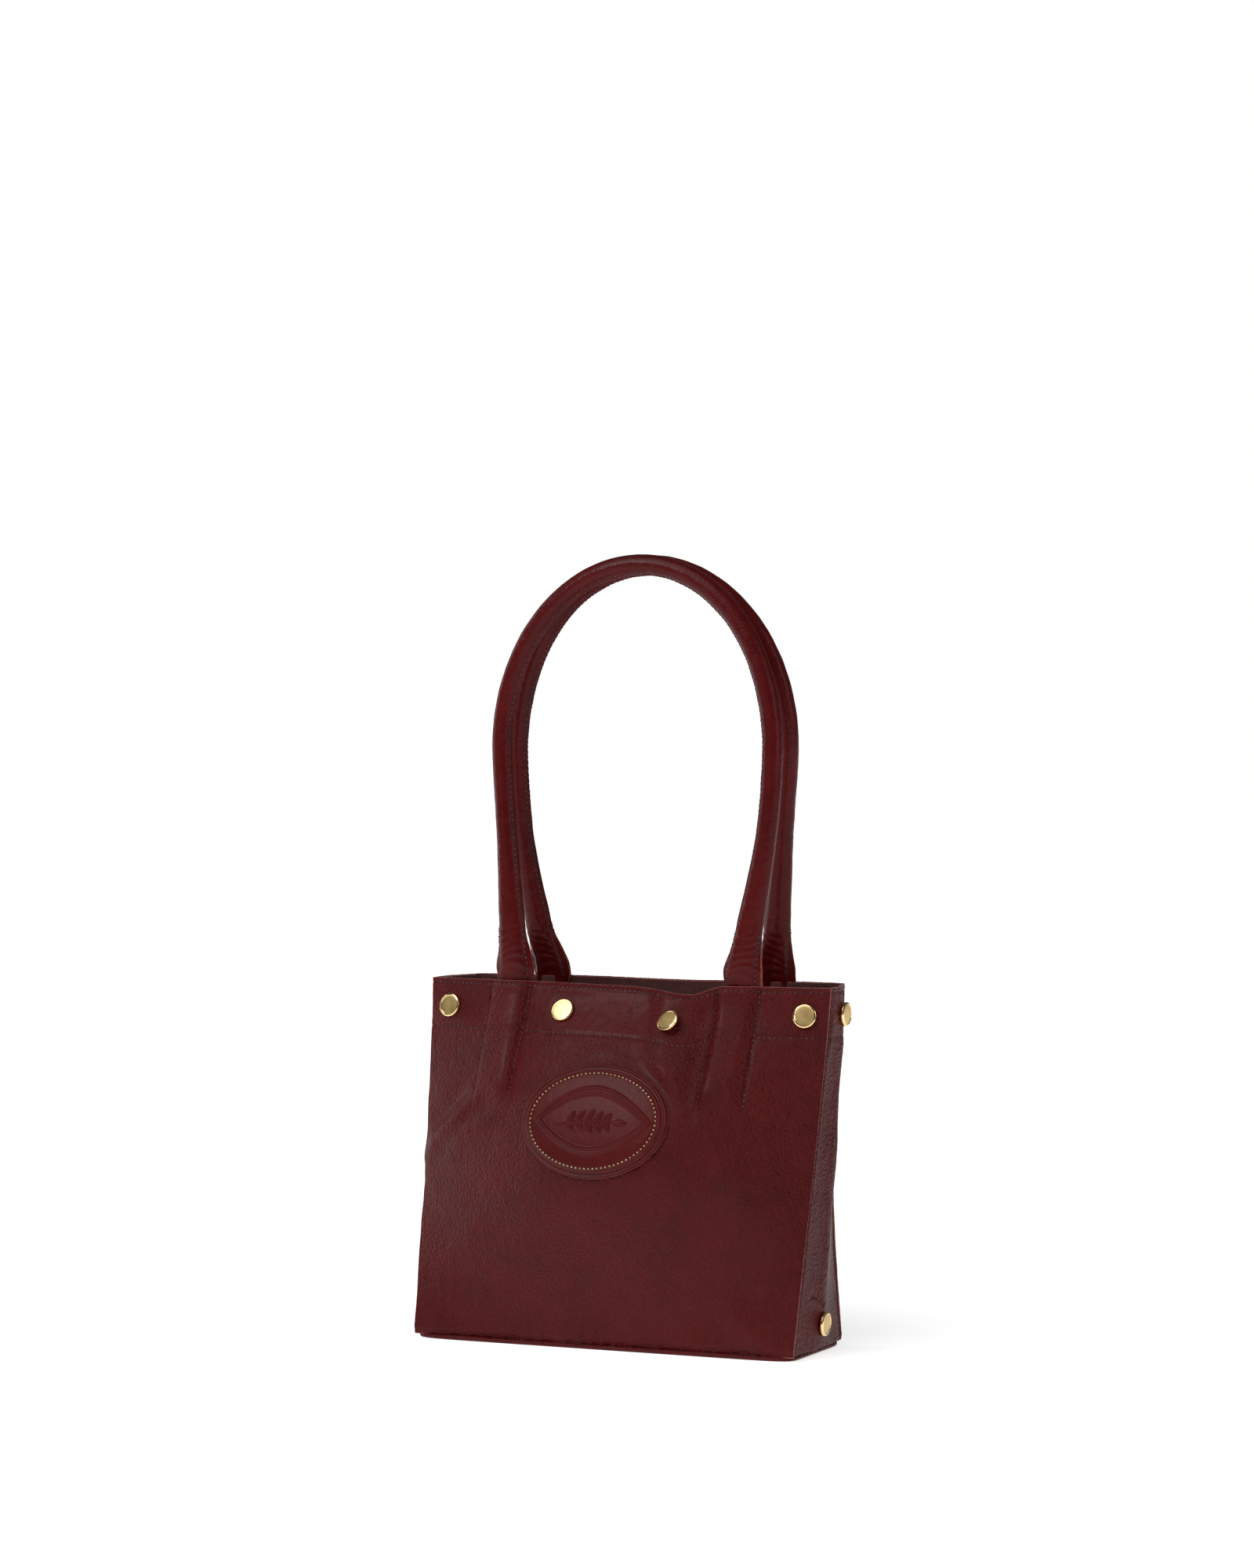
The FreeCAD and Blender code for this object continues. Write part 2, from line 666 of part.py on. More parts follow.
def badge_layer(label, half_width, half_height, depth):
    """A flat oval of leather laid on the bowed front face."""
    spare_x = half_width + BADGE_SPARE
    spare_z = half_height + BADGE_SPARE
    sections = []
    for z in levels(d.badge_z - spare_z, d.badge_z + spare_z, FLARE_STATIONS):
        sections.append(strip_wire(front_y, -spare_x, spare_x, z, depth, d.badge_leather))
    block = loft(sections)
    oval = Part.Ellipse(V(0, 0, 0), half_width, half_height)
    disc = Part.Face(Part.Wire([oval.toShape()]))
    ahead = V(0, -d.body_height, d.badge_z)
    disc.Placement = FreeCAD.Placement(ahead, FreeCAD.Rotation(V(1, 0, 0), 90))
    punch = disc.extrude(V(0, 2 * d.body_height, 0))
    add_feature(label, block.common(punch))


BACKING_DEPTH = -d.badge_leather - d.layer_gap
badge_layer(
    "badge_backing",
    d.badge_width / 2 + d.badge_border,
    d.badge_height / 2 + d.badge_border,
    BACKING_DEPTH,
)
badge_layer("badge_face", d.badge_width / 2, d.badge_height / 2, BACKING_DEPTH * 2)

# ---------------------------------------------------------------- checks and files
doc.recompute()
for item in doc.Objects:
    if "Invalid" in item.State or "Error" in item.State:
        raise RuntimeError(f"{item.Name}: {item.State}")
for node in NODES:
    if node.Shape.isNull() or not node.Shape.isValid():
        raise RuntimeError(f"{node.Label}: bad shape")

os.makedirs("parts", exist_ok=True)
for node in NODES:
    node.Shape.exportStep(f"parts/{node.Label}.step")
    print(f"{node.Label}: {len(node.Shape.Solids)} solids, {node.Shape.Volume:.1f} mm3")
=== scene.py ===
import bmesh
import bpy
import json
import math
import numpy as np
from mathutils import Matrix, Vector, noise


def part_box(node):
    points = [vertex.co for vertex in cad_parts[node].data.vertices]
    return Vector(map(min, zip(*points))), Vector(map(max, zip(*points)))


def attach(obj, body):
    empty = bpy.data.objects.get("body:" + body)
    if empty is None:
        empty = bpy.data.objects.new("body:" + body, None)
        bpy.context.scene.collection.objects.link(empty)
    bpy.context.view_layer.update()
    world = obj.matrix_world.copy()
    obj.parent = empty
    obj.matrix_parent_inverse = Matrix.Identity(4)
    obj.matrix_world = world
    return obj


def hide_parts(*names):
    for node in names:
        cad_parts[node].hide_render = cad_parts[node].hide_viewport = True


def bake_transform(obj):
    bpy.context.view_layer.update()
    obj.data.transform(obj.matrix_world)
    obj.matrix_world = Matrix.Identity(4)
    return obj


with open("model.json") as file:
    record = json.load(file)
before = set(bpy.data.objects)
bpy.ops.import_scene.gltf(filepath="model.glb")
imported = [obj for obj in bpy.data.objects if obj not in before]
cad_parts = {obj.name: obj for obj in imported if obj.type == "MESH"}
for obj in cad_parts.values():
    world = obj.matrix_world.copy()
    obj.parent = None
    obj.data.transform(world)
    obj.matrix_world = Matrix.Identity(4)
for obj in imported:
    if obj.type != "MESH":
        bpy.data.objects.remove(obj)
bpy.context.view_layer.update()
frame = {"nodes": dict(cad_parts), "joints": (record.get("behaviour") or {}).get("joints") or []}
MM = 0.001


# ======== sizes read from the frame (mm)
def span(node):
    """Lowest and highest corner of a CAD node, in millimetres."""
    low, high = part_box(node)
    return np.array(low) / MM, np.array(high) / MM


def joint_point(name):
    for joint in frame["joints"]:
        if joint["name"] == name:
            return np.array(joint["pos_m"]) / MM
    raise KeyError(name)


front_high = span("front_panel")[1]
base_high = span("base_panel")[1]
gusset_high = span("right_gusset")[1]
facing_low = span("front_facing")[0]
tab_low, tab_high = span("front_right_handle_tab")
badge_low, badge_high = span("badge_face")
backing_low, backing_high = span("badge_backing")

HIDE = 1.7  # leather thickness
LAYER = HIDE + 0.3  # a layer and its clearance
HEIGHT = front_high[2]
FOOT = base_high[2] + 0.3
HALF_MOUTH = front_high[0]
HALF_BASE = base_high[0]
BASE_HALF_DEPTH = base_high[1]
FRONT_CORNER = front_high[1] - HIDE  # y of the front panel's upper corners
BACK_CORNER = gusset_high[1] + LAYER
FACING_DEPTH = HEIGHT - facing_low[2]
TAB_X = (tab_low[0] + tab_high[0]) / 2
TAB_DEPTH = HEIGHT - tab_low[2]
BADGE_Z = (badge_low[2] + badge_high[2]) / 2
BADGE_HALF = (badge_high[0], (badge_high[2] - badge_low[2]) / 2)
BACKING_HALF = (backing_high[0], (backing_high[2] - backing_low[2]) / 2)
STUD_DEPTH = 17.0  # stud centres below the rim
LOW_STUD_Z = 18.0
OUTER_STUD = 120.0
OUTER_BACK_STUD = 109.1
INNER_STUD = 37.0
FRONT_BULGE = 38.0
BACK_BULGE = 6.0
FRONT_RIM_BOW = 8.0
BACK_RIM_BOW = 14.0
BACK_TUCK = 7.0
PITCH = 3.3  # stitch length, hole to hole
RIM_SEAM = 2.7  # depth of the top seam below the rim
SIDE_SEAM = 3.0  # a gusset's seams from its edges
SIDES = ((-1, "left"), (1, "right"))
BAND_SEAM = 0.4  # a band's seams outside its shoulders


# ======== small maths helpers
def smooth(edge0, edge1, value):
    t = np.clip((value - edge0) / (edge1 - edge0), 0, 1)
    return t * t * (3 - 2 * t)


def bump(value, centre, width):
    return np.exp(-(((value - centre) / width) ** 2))


def turns(count):
    """Evenly spaced angles round a circle."""
    return np.linspace(0, 2 * np.pi, count, endpoint=False)


def points_of(*parts):
    """Points from their separate coordinates."""
    return np.stack(parts, axis=-1)


def field(points, size, seed):
    """Smooth noise of a given feature size (mm) at each point, from -1 to 1."""
    shift = Vector((seed * 13.7, seed * 5.1, seed * 9.3))
    flat = points.reshape(-1, 3) / size
    values = [noise.noise(Vector(p) + shift) for p in flat]
    return np.array(values).reshape(points.shape[:-1])


def path_distance(a, b, path):
    """Distance from points (a, b) to a polyline in the same plane, and how far along it."""
    best = np.full(a.shape, 1e9)
    along = np.zeros(a.shape)
    count = len(path) - 1
    for i, ((a0, b0), (a1, b1)) in enumerate(zip(path, path[1:])):
        run = (a1 - a0) ** 2 + (b1 - b0) ** 2
        t = np.clip(((a - a0) * (a1 - a0) + (b - b0) * (b1 - b0)) / run, 0, 1)
        gap = np.hypot(a - a0 - t * (a1 - a0), b - b0 - t * (b1 - b0))
        along = np.where(gap < best, (i + t) / count, along)
        best = np.minimum(best, gap)
    return best, along


# ======== the body's basic shape
def share(z):
    return np.clip(z / HEIGHT, 0, 1)


def front_corner_x(z):
    return HALF_BASE + (HALF_MOUTH - HALF_BASE) * share(z)


def front_corner_y(z):
    return FRONT_CORNER - (FRONT_CORNER + BASE_HALF_DEPTH) * (1 - share(z)) ** 1.25


def back_corner_x(z):
    return HALF_BASE - 2 * share(z) - BACK_TUCK * np.sin(np.pi * share(z))


def back_corner_y(z):
    return BASE_HALF_DEPTH + (BACK_CORNER - BASE_HALF_DEPTH) * share(z)


def fold_x(z):
    return HALF_BASE + (HALF_MOUTH - HALF_BASE) * share(z) ** 0.4


def fold_y(z):
    return (front_corner_y(z) + back_corner_y(z)) / 2


def bow(x, half, rise):
    rise = np.maximum(rise, 1e-6)
    radius = (half * half + rise * rise) / (2 * rise)
    return np.sqrt(np.maximum(radius * radius - x * x, 0)) - (radius - rise)


def front_rise(z):
    fullness = np.maximum(np.sin(np.pi * share(z) ** 1.1), 0) ** 1.4
    return FRONT_RIM_BOW * share(z) + FRONT_BULGE * fullness


def back_rise(z):
    return BACK_RIM_BOW * share(z) + BACK_BULGE * np.sin(np.pi * share(z))


def front_plain(x, z):
    y = front_corner_y(z) - bow(x, front_corner_x(z), front_rise(z))
    return points_of(x, y, z)


def back_plain(x, z):
    y = back_corner_y(z) + bow(x, back_corner_x(z), back_rise(z))
    return points_of(x, y, z)


def face_normal(surface, x, z, outward):
    """Unit normal of a surface given as points over (x, z); outward is -1 front, +1 back."""
    step = 0.5
    along_x = surface(x + step, z) - surface(x - step, z)
    along_z = surface(x, z + step) - surface(x, z - step)
    normal = np.cross(along_x, along_z)
    normal *= np.sign(normal[..., 1:2]) * outward
    return normal / np.linalg.norm(normal, axis=-1, keepdims=True)


# ======== relief pressed into the leather
BAND_HALF = 13.0  # half width of the raised band over a handle tab
BAND_RISE = 3.8


def band_relief(x, depth, centre):
    """The raised band over a tab: a firm left shoulder, a softer right one, seams both sides."""
    offset = (x - centre) / BAND_HALF
    left = (1 - np.clip(-offset, 0, 1) ** 6) ** 0.6
    right = (1 - np.clip(offset, 0, 1) ** 3.4) ** 1.1
    shape = np.where(offset < 0, left, right) * (np.abs(offset) < 1)
    fade = 1 - smooth(TAB_DEPTH - 9, TAB_DEPTH + 9, depth)
    relief = BAND_RISE * shape * fade
    for side in (-1, 1):
        seam = x - centre - side * (BAND_HALF + BAND_SEAM)
        relief -= 0.7 * bump(seam, 0, 1.1) * fade
        pucker = np.sin(2 * np.pi * depth / PITCH) * np.exp(-np.abs(seam) / 2.6)
        relief += 0.16 * pucker * fade
    return relief


def stitch_groove(distance):
    return -0.42 * bump(distance, 0, 0.8)


def rim_groove(depth, x):
    line = stitch_groove(depth - RIM_SEAM) + stitch_groove(depth - FACING_DEPTH)
    puckers = np.sin(2 * np.pi * x / PITCH)
    soft = np.exp(-np.abs(depth - FACING_DEPTH) / 2.2) + np.exp(-np.abs(depth - RIM_SEAM) / 1.6)
    return line + 0.05 * puckers * soft


def ridge(x, depth, path, height, width):
    distance, along = path_distance(x, depth, path)
    return height * bump(distance, 0, width) * np.sin(np.pi * np.clip(along * 0.9 + 0.08, 0, 1)) ** 0.6


def badge_mask(x, z):
    reach = np.hypot(x / (BACKING_HALF[0] + 6), (z - BADGE_Z) / (BACKING_HALF[1] + 6))
    return 1 - smooth(0.9, 1.08, reach)


def stud_mask(x, depth, spots):
    calm = np.zeros(x.shape)
    for spot in spots:
        calm = np.maximum(calm, 1 - smooth(8, 14, np.hypot(x - spot, depth - STUD_DEPTH)))
    return calm


FRONT_STUDS = (-OUTER_STUD, -INNER_STUD, INNER_STUD, OUTER_STUD)
BACK_STUDS = (-OUTER_BACK_STUD, -INNER_STUD, INNER_STUD, OUTER_BACK_STUD)


def front_rim(x):
    """Rim height along the front: it dips beside the right handle."""
    dip = np.where(x < 47, bump(x, 47, 24), bump(x, 47, 12))
    return HEIGHT - 6.2 * dip - 1.2 * bump(x, 0, 45)


FRONT_FOLDS = (  # path as (x, depth), height, width
    ([(-91, 74), (-106, 88), (-120, 99), (-131, 116)], 3.8, 6.0),
    ([(-98, 62), (-112, 78), (-128, 92)], -2.2, 6.5),
    ([(-70, 80), (-90, 90), (-106, 104)], 1.5, 5.0),
    ([(-76, 96), (-98, 112), (-118, 132)], -1.3, 8.0),
    ([(30, 2), (36, 30), (42, 66), (44, 90)], 2.6, 11.0),
    ([(56, 8), (60, 34), (60, 70)], -1.8, 7.0),
    ([(72, 84), (84, 110), (100, 150)], 1.3, 9.0),
    ([(84, 190), (98, 204), (108, 214)], 2.6, 10.0),
    ([(60, 196), (74, 208)], -1.2, 7.0),
)


def front_folds(x, depth):
    """Folds and soft creases of the front panel, as heights along its normal."""
    relief = sum(ridge(x, depth, *fold) for fold in FRONT_FOLDS)
    low = smooth(190, 214, depth)
    relief += 0.45 * low * np.sin(x * 0.62 + np.sin(x * 0.11) * 2.5) * bump(x, -15, 42)
    return relief


def front_swell(points):
    return 1.3 * field(points, 64, 1)


def rim_push(x, depth):
    """The rim leans out beside the right handle."""
    return 3.0 * bump(x, 45, 20) * np.exp(-depth / 16)


def front_relief(x, z, points):
    depth = front_rim(x) - z
    badge = badge_mask(x, z)
    calm = np.maximum(badge, stud_mask(x, depth, FRONT_STUDS))
    relief = sum(band_relief(x, depth, side * TAB_X) for side in (-1, 1))
    relief += front_folds(x, depth) * (1 - badge)
    relief += rim_groove(depth, x)
    relief += front_swell(points) * (1 - badge * 0.7)
    relief += 0.42 * field(points, 19, 2) * (1 - calm)
    relief += 0.16 * field(points * np.array([1.0, 1.0, 0.55]), 4.2, 3) * (1 - calm)
    return relief + rim_push(x, np.maximum(depth, 0))


def back_rim(x):
    return HEIGHT - 1.4 * bump(x, 10, 50)


BACK_FOLDS = (  # path as (x, depth), height, width
    ([(88, 76), (102, 96), (114, 118)], 2.0, 5.0),
    ([(-90, 78), (-60, 104), (-20, 122)], 1.8, 8.0),
    ([(60, 96), (20, 120), (-30, 140)], -1.4, 10.0),
)


def back_relief(x, z, points):
    depth = back_rim(x) - z
    calm = stud_mask(x, depth, BACK_STUDS)
    relief = sum(band_relief(-x, depth, side * TAB_X) for side in (-1, 1))
    relief += sum(ridge(x, depth, *fold) for fold in BACK_FOLDS)
    relief += rim_groove(depth, x)
    relief += 1.6 * field(points, 60, 11)
    relief += 0.45 * field(points, 18, 12) * (1 - calm)
    return relief + 0.10 * field(points, 4.2, 13) * (1 - calm)


def pressed(plain, relief, outward):
    """A panel's outer face, as points over (x, z): its plain face with its relief along the normal."""
    def surface(x, z):
        points = plain(x, z)
        return points + face_normal(plain, x, z, outward) * relief(x, z, points)[..., None]

    return surface


front_surface = pressed(front_plain, front_relief, -1)
back_surface = pressed(back_plain, back_relief, 1)


# ======== mesh helpers
def placed(name, data):
    """A new object in the scene."""
    thing = bpy.data.objects.new(name, data)
    bpy.context.scene.collection.objects.link(thing)
    return thing


FUZZ = 0.28  # roughness of a cut edge


class Piece:
    """Points and four-sided faces of one piece, with a material slot for each face."""

    def __init__(self, name):
        self.name = name
        self.points = []
        self.faces = []
        self.slots = []
        self.count = 0

    def add(self, points, faces, slot=0):
        flat = points.reshape(-1, 3)
        self.points.append(flat)
        self.faces.append(faces + self.count)
        slots = np.full(len(faces), slot) if np.isscalar(slot) else slot
        self.slots.append(slots)
        self.count += len(flat)

    def finish(self, materials, sharp=50, weld=True):
        mesh = bpy.data.meshes.new(self.name)
        points = np.concatenate(self.points) * MM
        faces = np.concatenate(self.faces)
        mesh.from_pydata(points.tolist(), [], faces.tolist())
        mesh.polygons.foreach_set("material_index", np.concatenate(self.slots).astype(np.int32))
        if weld:
            weld_mesh(mesh)
        mesh.polygons.foreach_set("use_smooth", [True] * len(mesh.polygons))
        mesh.set_sharp_from_angle(angle=math.radians(sharp))
        for material in materials:
            mesh.materials.append(material)
        return placed(self.name, mesh)


def weld_mesh(mesh):
    """Joins points that coincide and turns every face outward."""
    work = bmesh.new()
    work.from_mesh(mesh)
    bmesh.ops.remove_doubles(work, verts=work.verts, dist=1e-6)
    bmesh.ops.recalc_face_normals(work, faces=work.faces)
    work.to_mesh(mesh)
    work.free()


def grid_faces(rows, cols, wrap=False):
    index = np.arange(rows * cols).reshape(rows, cols)
    if wrap:
        index = np.concatenate([index, index[:, :1]], axis=1)
    corners = [index[:-1, :-1], index[:-1, 1:], index[1:, 1:], index[1:, :-1]]
    return np.stack(corners, axis=-1).reshape(-1, 4)


def unit(vectors):
    return vectors / np.maximum(np.linalg.norm(vectors, axis=-1, keepdims=True), 1e-9)


def turned(normal, outward):
    """Unit normals, each turned to its outward side."""
    return unit(normal * np.sign((normal * outward).sum(axis=-1, keepdims=True)))


def grid_normals(points, toward):
    normal = np.cross(np.gradient(points, axis=1), np.gradient(points, axis=0))
    facing = (normal * np.asarray(toward)).sum(axis=-1).sum()
    return unit(normal * np.sign(facing))


def border(grid):
    """The grid's outline in order, as rows of a closed loop."""
    return np.concatenate([grid[0, :-1], grid[:-1, -1], grid[-1, :0:-1], grid[:0:-1, 0]])


def leather_sheet(piece, outer, normal, thick, seed):
    """A sheet of leather: outer face, flesh side and a rounded, slightly fuzzy cut edge."""
    rows, cols = outer.shape[:2]
    inner = outer - normal * thick
    piece.add(outer, grid_faces(rows, cols), 0)
    piece.add(inner, grid_faces(rows, cols), 2)
    rim_out = border(outer)
    rim_in = border(inner)
    inside = border(np.pad(outer[1:-1, 1:-1], ((1, 1), (1, 1), (0, 0)), mode="edge"))
    away = unit(rim_out - inside)
    loops = [rim_out]
    for share_in, bulge in ((0.12, 0.16), (0.35, 0.30), (0.65, 0.30), (0.88, 0.16)):
        line = rim_out * (1 - share_in) + rim_in * share_in
        rough = field(line, 0.7, seed + share_in * 10)[:, None]
        loops.append(line + away * (bulge + FUZZ * rough))
    loops.append(rim_in)
    loops = np.stack(loops)
    piece.add(loops, grid_faces(len(loops), loops.shape[1], wrap=True), 1)


THREAD = 0.42  # radius of the sewing thread
CAPSULE_STEPS = np.linspace(0, 1, 7)
CAPSULE_TURN = turns(8)
STITCH_SPAN = (0.27, 0.73)  # the part of each pitch that the thread shows


def capsule(piece, start, end, normal, radius, arch, slot):
    """One stitch: a short thread that rises a little between its two holes."""
    along = end - start
    side = unit(np.cross(along, normal))
    rings = []
    for t in CAPSULE_STEPS:
        girth = radius * max(1 - abs(2 * t - 1) ** 3.2, 0.0) ** 0.5 + 1e-4
        middle = start + along * t + normal * (arch * math.sin(math.pi * t))
        ring = np.cos(CAPSULE_TURN)[:, None] * side + np.sin(CAPSULE_TURN)[:, None] * normal
        rings.append(middle + ring * girth)
    rings = np.array(rings)
    piece.add(rings, grid_faces(len(rings), len(CAPSULE_TURN), wrap=True), slot)


def stitch(piece, points, normals, slots=(0, 1), radius=THREAD, sink=0.12, arch=0.22, hole=0.55):
    """Stitches along a row of holes; each hole is a small near-black dimple, painted shade in the
    hole.
    """
    for i in range(len(points) - 1):
        normal = unit((normals[i] + normals[i + 1]) / 2)
        gap = points[i + 1] - points[i]
        start, end = (points[i] + gap * share_of - normal * sink for share_of in STITCH_SPAN)
        capsule(piece, start, end, normal, radius, arch, slots[0])
    # a near-black capsule sunk into each hole: painted shade
    for i, (point, normal) in enumerate(zip(points, normals)):
        ahead = points[min(i + 1, len(points) - 1)] - points[max(i - 1, 0)]
        reach = unit(ahead) * hole * 1.3
        middle = point - normal * hole * 0.45
        capsule(piece, middle - reach, middle + reach, normal, hole, 0, slots[1])


def run_length(path):
    """Length along a polyline at each of its points."""
    steps = np.linalg.norm(np.diff(path, axis=0), axis=1)
    return np.concatenate([[0], np.cumsum(steps)])


def even_points(path, count):
    """A number of evenly spaced places along a polyline."""
    length = run_length(path)
    marks = np.linspace(0, length[-1], count)
    return np.stack([np.interp(marks, length, path[:, k]) for k in range(path.shape[1])], axis=-1)


def holes_along(path, pitch):
    """Places along a polyline at about the given pitch."""
    return even_points(path, max(int(round(run_length(path)[-1] / pitch)), 1) + 1)


def sew(piece, points, normals, pitch, **style):
    """Stitches along a dense row of points with their normals."""
    spots = holes_along(np.concatenate([points, normals], axis=1), pitch)
    stitch(piece, spots[:, :3], unit(spots[:, 3:]), **style)


# ======== materials
def node_tree(name):
    material = bpy.data.materials.new(name)
    material.use_nodes = True
    tree = material.node_tree
    shader = tree.nodes["Principled BSDF"]
    place = tree.nodes.new("ShaderNodeTexCoord")
    return material, tree, shader, place.outputs["Object"]


def noise_node(tree, where, scale, detail=3.0, roughness=0.55):
    node = tree.nodes.new("ShaderNodeTexNoise")
    node.inputs["Scale"].default_value = scale
    node.inputs["Detail"].default_value = detail
    node.inputs["Roughness"].default_value = roughness
    tree.links.new(where, node.inputs["Vector"])
    return node.outputs["Fac"]


def cells_node(tree, where, scale):
    node = tree.nodes.new("ShaderNodeTexVoronoi")
    node.feature = "SMOOTH_F1"
    node.inputs["Scale"].default_value = scale
    tree.links.new(where, node.inputs["Vector"])
    return node.outputs["Distance"]


def colour_by(tree, shader, value, stops):
    """Base colour from a value, through a ramp."""
    node = tree.nodes.new("ShaderNodeValToRGB")
    ramp = node.color_ramp
    while len(ramp.elements) < len(stops):
        ramp.elements.new(0.5)
    for element, (place, colour) in zip(ramp.elements, stops):
        element.position = place
        element.color = (*colour, 1)
    tree.links.new(value, node.inputs["Fac"])
    tree.links.new(node.outputs["Color"], shader.inputs["Base Color"])


def shine_by(tree, shader, value, low, high):
    node = tree.nodes.new("ShaderNodeMapRange")
    node.inputs["To Min"].default_value = low
    node.inputs["To Max"].default_value = high
    tree.links.new(value, node.inputs["Value"])
    tree.links.new(node.outputs["Result"], shader.inputs["Roughness"])


def combine(tree, kind, a, b):
    node = tree.nodes.new("ShaderNodeMath")
    node.operation = kind
    for socket, value in zip(node.inputs, (a, b)):
        if isinstance(value, (int, float)):
            socket.default_value = value
        else:
            tree.links.new(value, socket)
    return node.outputs["Value"]


def weighted(tree, *terms):
    """Sum of values, each times its weight."""
    total = None
    for value, weight in terms:
        part = combine(tree, "MULTIPLY", value, weight)
        total = part if total is None else combine(tree, "ADD", total, part)
    return total


def bump_into(tree, shader, height, distance):
    node = tree.nodes.new("ShaderNodeBump")
    node.inputs["Distance"].default_value = distance
    node.inputs["Strength"].default_value = 1.0
    tree.links.new(height, node.inputs["Height"])
    tree.links.new(node.outputs["Normal"], shader.inputs["Normal"])


def grain_leather(name, dark, mid, light, rough=(0.34, 0.48), pebble=600.0, depth=0.0012):
    """Pebbled leather: rounded cells of grain, fine creases, painted shade in the valleys between
    cells and a soft shine.
    """
    material, tree, shader, where = node_tree(name)
    warp = tree.nodes.new("ShaderNodeTexNoise")
    warp.inputs["Scale"].default_value = 260.0
    tree.links.new(where, warp.inputs["Vector"])
    shift = tree.nodes.new("ShaderNodeVectorMath")
    shift.operation = "MULTIPLY_ADD"
    shift.inputs[1].default_value = (0.0012, 0.0012, 0.0012)
    tree.links.new(warp.outputs["Color"], shift.inputs[0])
    tree.links.new(where, shift.inputs[2])
    bent = shift.outputs["Vector"]
    cells = cells_node(tree, bent, pebble)
    fine = noise_node(tree, where, 1900.0, 4.0)
    broad = noise_node(tree, where, 24.0, 4.0)
    patch = noise_node(tree, where, 120.0, 3.0)
    grain = weighted(tree, (cells, -1.0), (fine, 0.35))
    # the cells' term darkens the colour towards each cell's edge: painted shade in the grain's valleys
    tone = weighted(tree, (broad, 0.6), (patch, 0.4), (cells, -0.16))
    colour_by(tree, shader, tone, [(0.22, dark), (0.42, mid), (0.66, light)])
    shine_by(tree, shader, patch, *rough)
    shader.inputs["Specular IOR Level"].default_value = 0.13
    shader.inputs["Coat Weight"].default_value = 0.05
    shader.inputs["Coat Roughness"].default_value = 0.24
    bump_into(tree, shader, grain, depth)
    return material


def suede(name, dark, light, scale=900.0, depth=0.0003):
    """Cut or flesh side of leather: matt, fibrous and mottled."""
    material, tree, shader, where = node_tree(name)
    fibre = noise_node(tree, where, scale, 6.0, 0.7)
    patch = noise_node(tree, where, 90.0, 3.0)
    tone = weighted(tree, (fibre, 0.6), (patch, 0.4))
    colour_by(tree, shader, tone, [(0.32, dark), (0.66, light)])
    shader.inputs["Roughness"].default_value = 0.9
    shader.inputs["Specular IOR Level"].default_value = 0.2
    shader.inputs["Sheen Weight"].default_value = 0.3
    bump_into(tree, shader, fibre, depth)
    return material


def gold(name, tint, dark, rough, scratch=0.00002):
    """Plated brass with faint marks and a patchy shine."""
    material, tree, shader, where = node_tree(name)
    patch = noise_node(tree, where, 160.0, 4.0)
    marks = noise_node(tree, where, 2600.0, 2.0)
    colour_by(tree, shader, patch, [(0.3, dark), (0.6, tint)])
    shine_by(tree, shader, patch, *rough)
    shader.inputs["Metallic"].default_value = 1.0
    bump_into(tree, shader, marks, scratch)
    return material


def thread(name, dark, light, twist=1500.0):
    """Waxed thread: a fine twist over two near tones."""
    material, tree, shader, where = node_tree(name)
    wave = tree.nodes.new("ShaderNodeTexWave")
    wave.bands_direction = "DIAGONAL"
    wave.inputs["Scale"].default_value = twist
    wave.inputs["Distortion"].default_value = 1.5
    tree.links.new(where, wave.inputs["Vector"])
    mottle = noise_node(tree, where, 700.0, 2.0)
    colour_by(tree, shader, mottle, [(0.38, dark), (0.62, light)])
    shader.inputs["Roughness"].default_value = 0.62
    bump_into(tree, shader, wave.outputs["Fac"], 0.00008)
    return material


LEATHER = grain_leather(
    "burgundy_leather", (0.052, 0.0012, 0.0015), (0.072, 0.0018, 0.0022), (0.092, 0.0032, 0.0038),
)
ROLLED = grain_leather(
    "rolled_leather", (0.050, 0.0012, 0.0015), (0.070, 0.0018, 0.0022), (0.090, 0.0030, 0.0036),
    (0.28, 0.40), 620.0, 0.00022,
)
BADGE_LEATHER = grain_leather(
    "badge_leather", (0.054, 0.0014, 0.0018), (0.074, 0.0022, 0.0026), (0.094, 0.0036, 0.0042),
    (0.38, 0.48), 1300.0, 0.00014,
)
RAW_EDGE = suede("raw_edge", (0.10, 0.018, 0.013), (0.30, 0.075, 0.052))
FLESH = suede("flesh_side", (0.045, 0.012, 0.011), (0.11, 0.030, 0.026), 500.0)
GOLD_FACE = gold("satin_gold", (0.70, 0.50, 0.22), (0.56, 0.38, 0.15), (0.30, 0.42), 0.000005)
GOLD_RIM = gold("polished_gold", (0.95, 0.72, 0.36), (0.85, 0.60, 0.27), (0.10, 0.18), 0.000001)
DARK_THREAD = thread("burgundy_thread", (0.030, 0.004, 0.006), (0.20, 0.05, 0.06))
# near-black material for the stitch holes: painted shade in each hole
HOLE_SHADE = suede("stitch_hole_shade", (0.002, 0.0008, 0.0008), (0.006, 0.002, 0.002))
PALE_THREAD = thread("gold_thread", (0.42, 0.27, 0.10), (0.78, 0.58, 0.30))
ROPE = thread("rope_core", (0.35, 0.27, 0.17), (0.58, 0.47, 0.32), 300.0)
BOARD = suede("grey_board", (0.20, 0.15, 0.11), (0.34, 0.27, 0.20), 300.0)
SKIN = (LEATHER, RAW_EDGE, FLESH)


def settle(piece, body, slot_name, *nodes):
    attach(piece, body)
    if nodes:
        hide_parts(*nodes)


# ======== panels
def turned_foot(z):
    """The lower edge curls in towards the bottom seam."""
    return -1.5 * (1 - smooth(FOOT, FOOT + 4.5, z)) ** 1.5


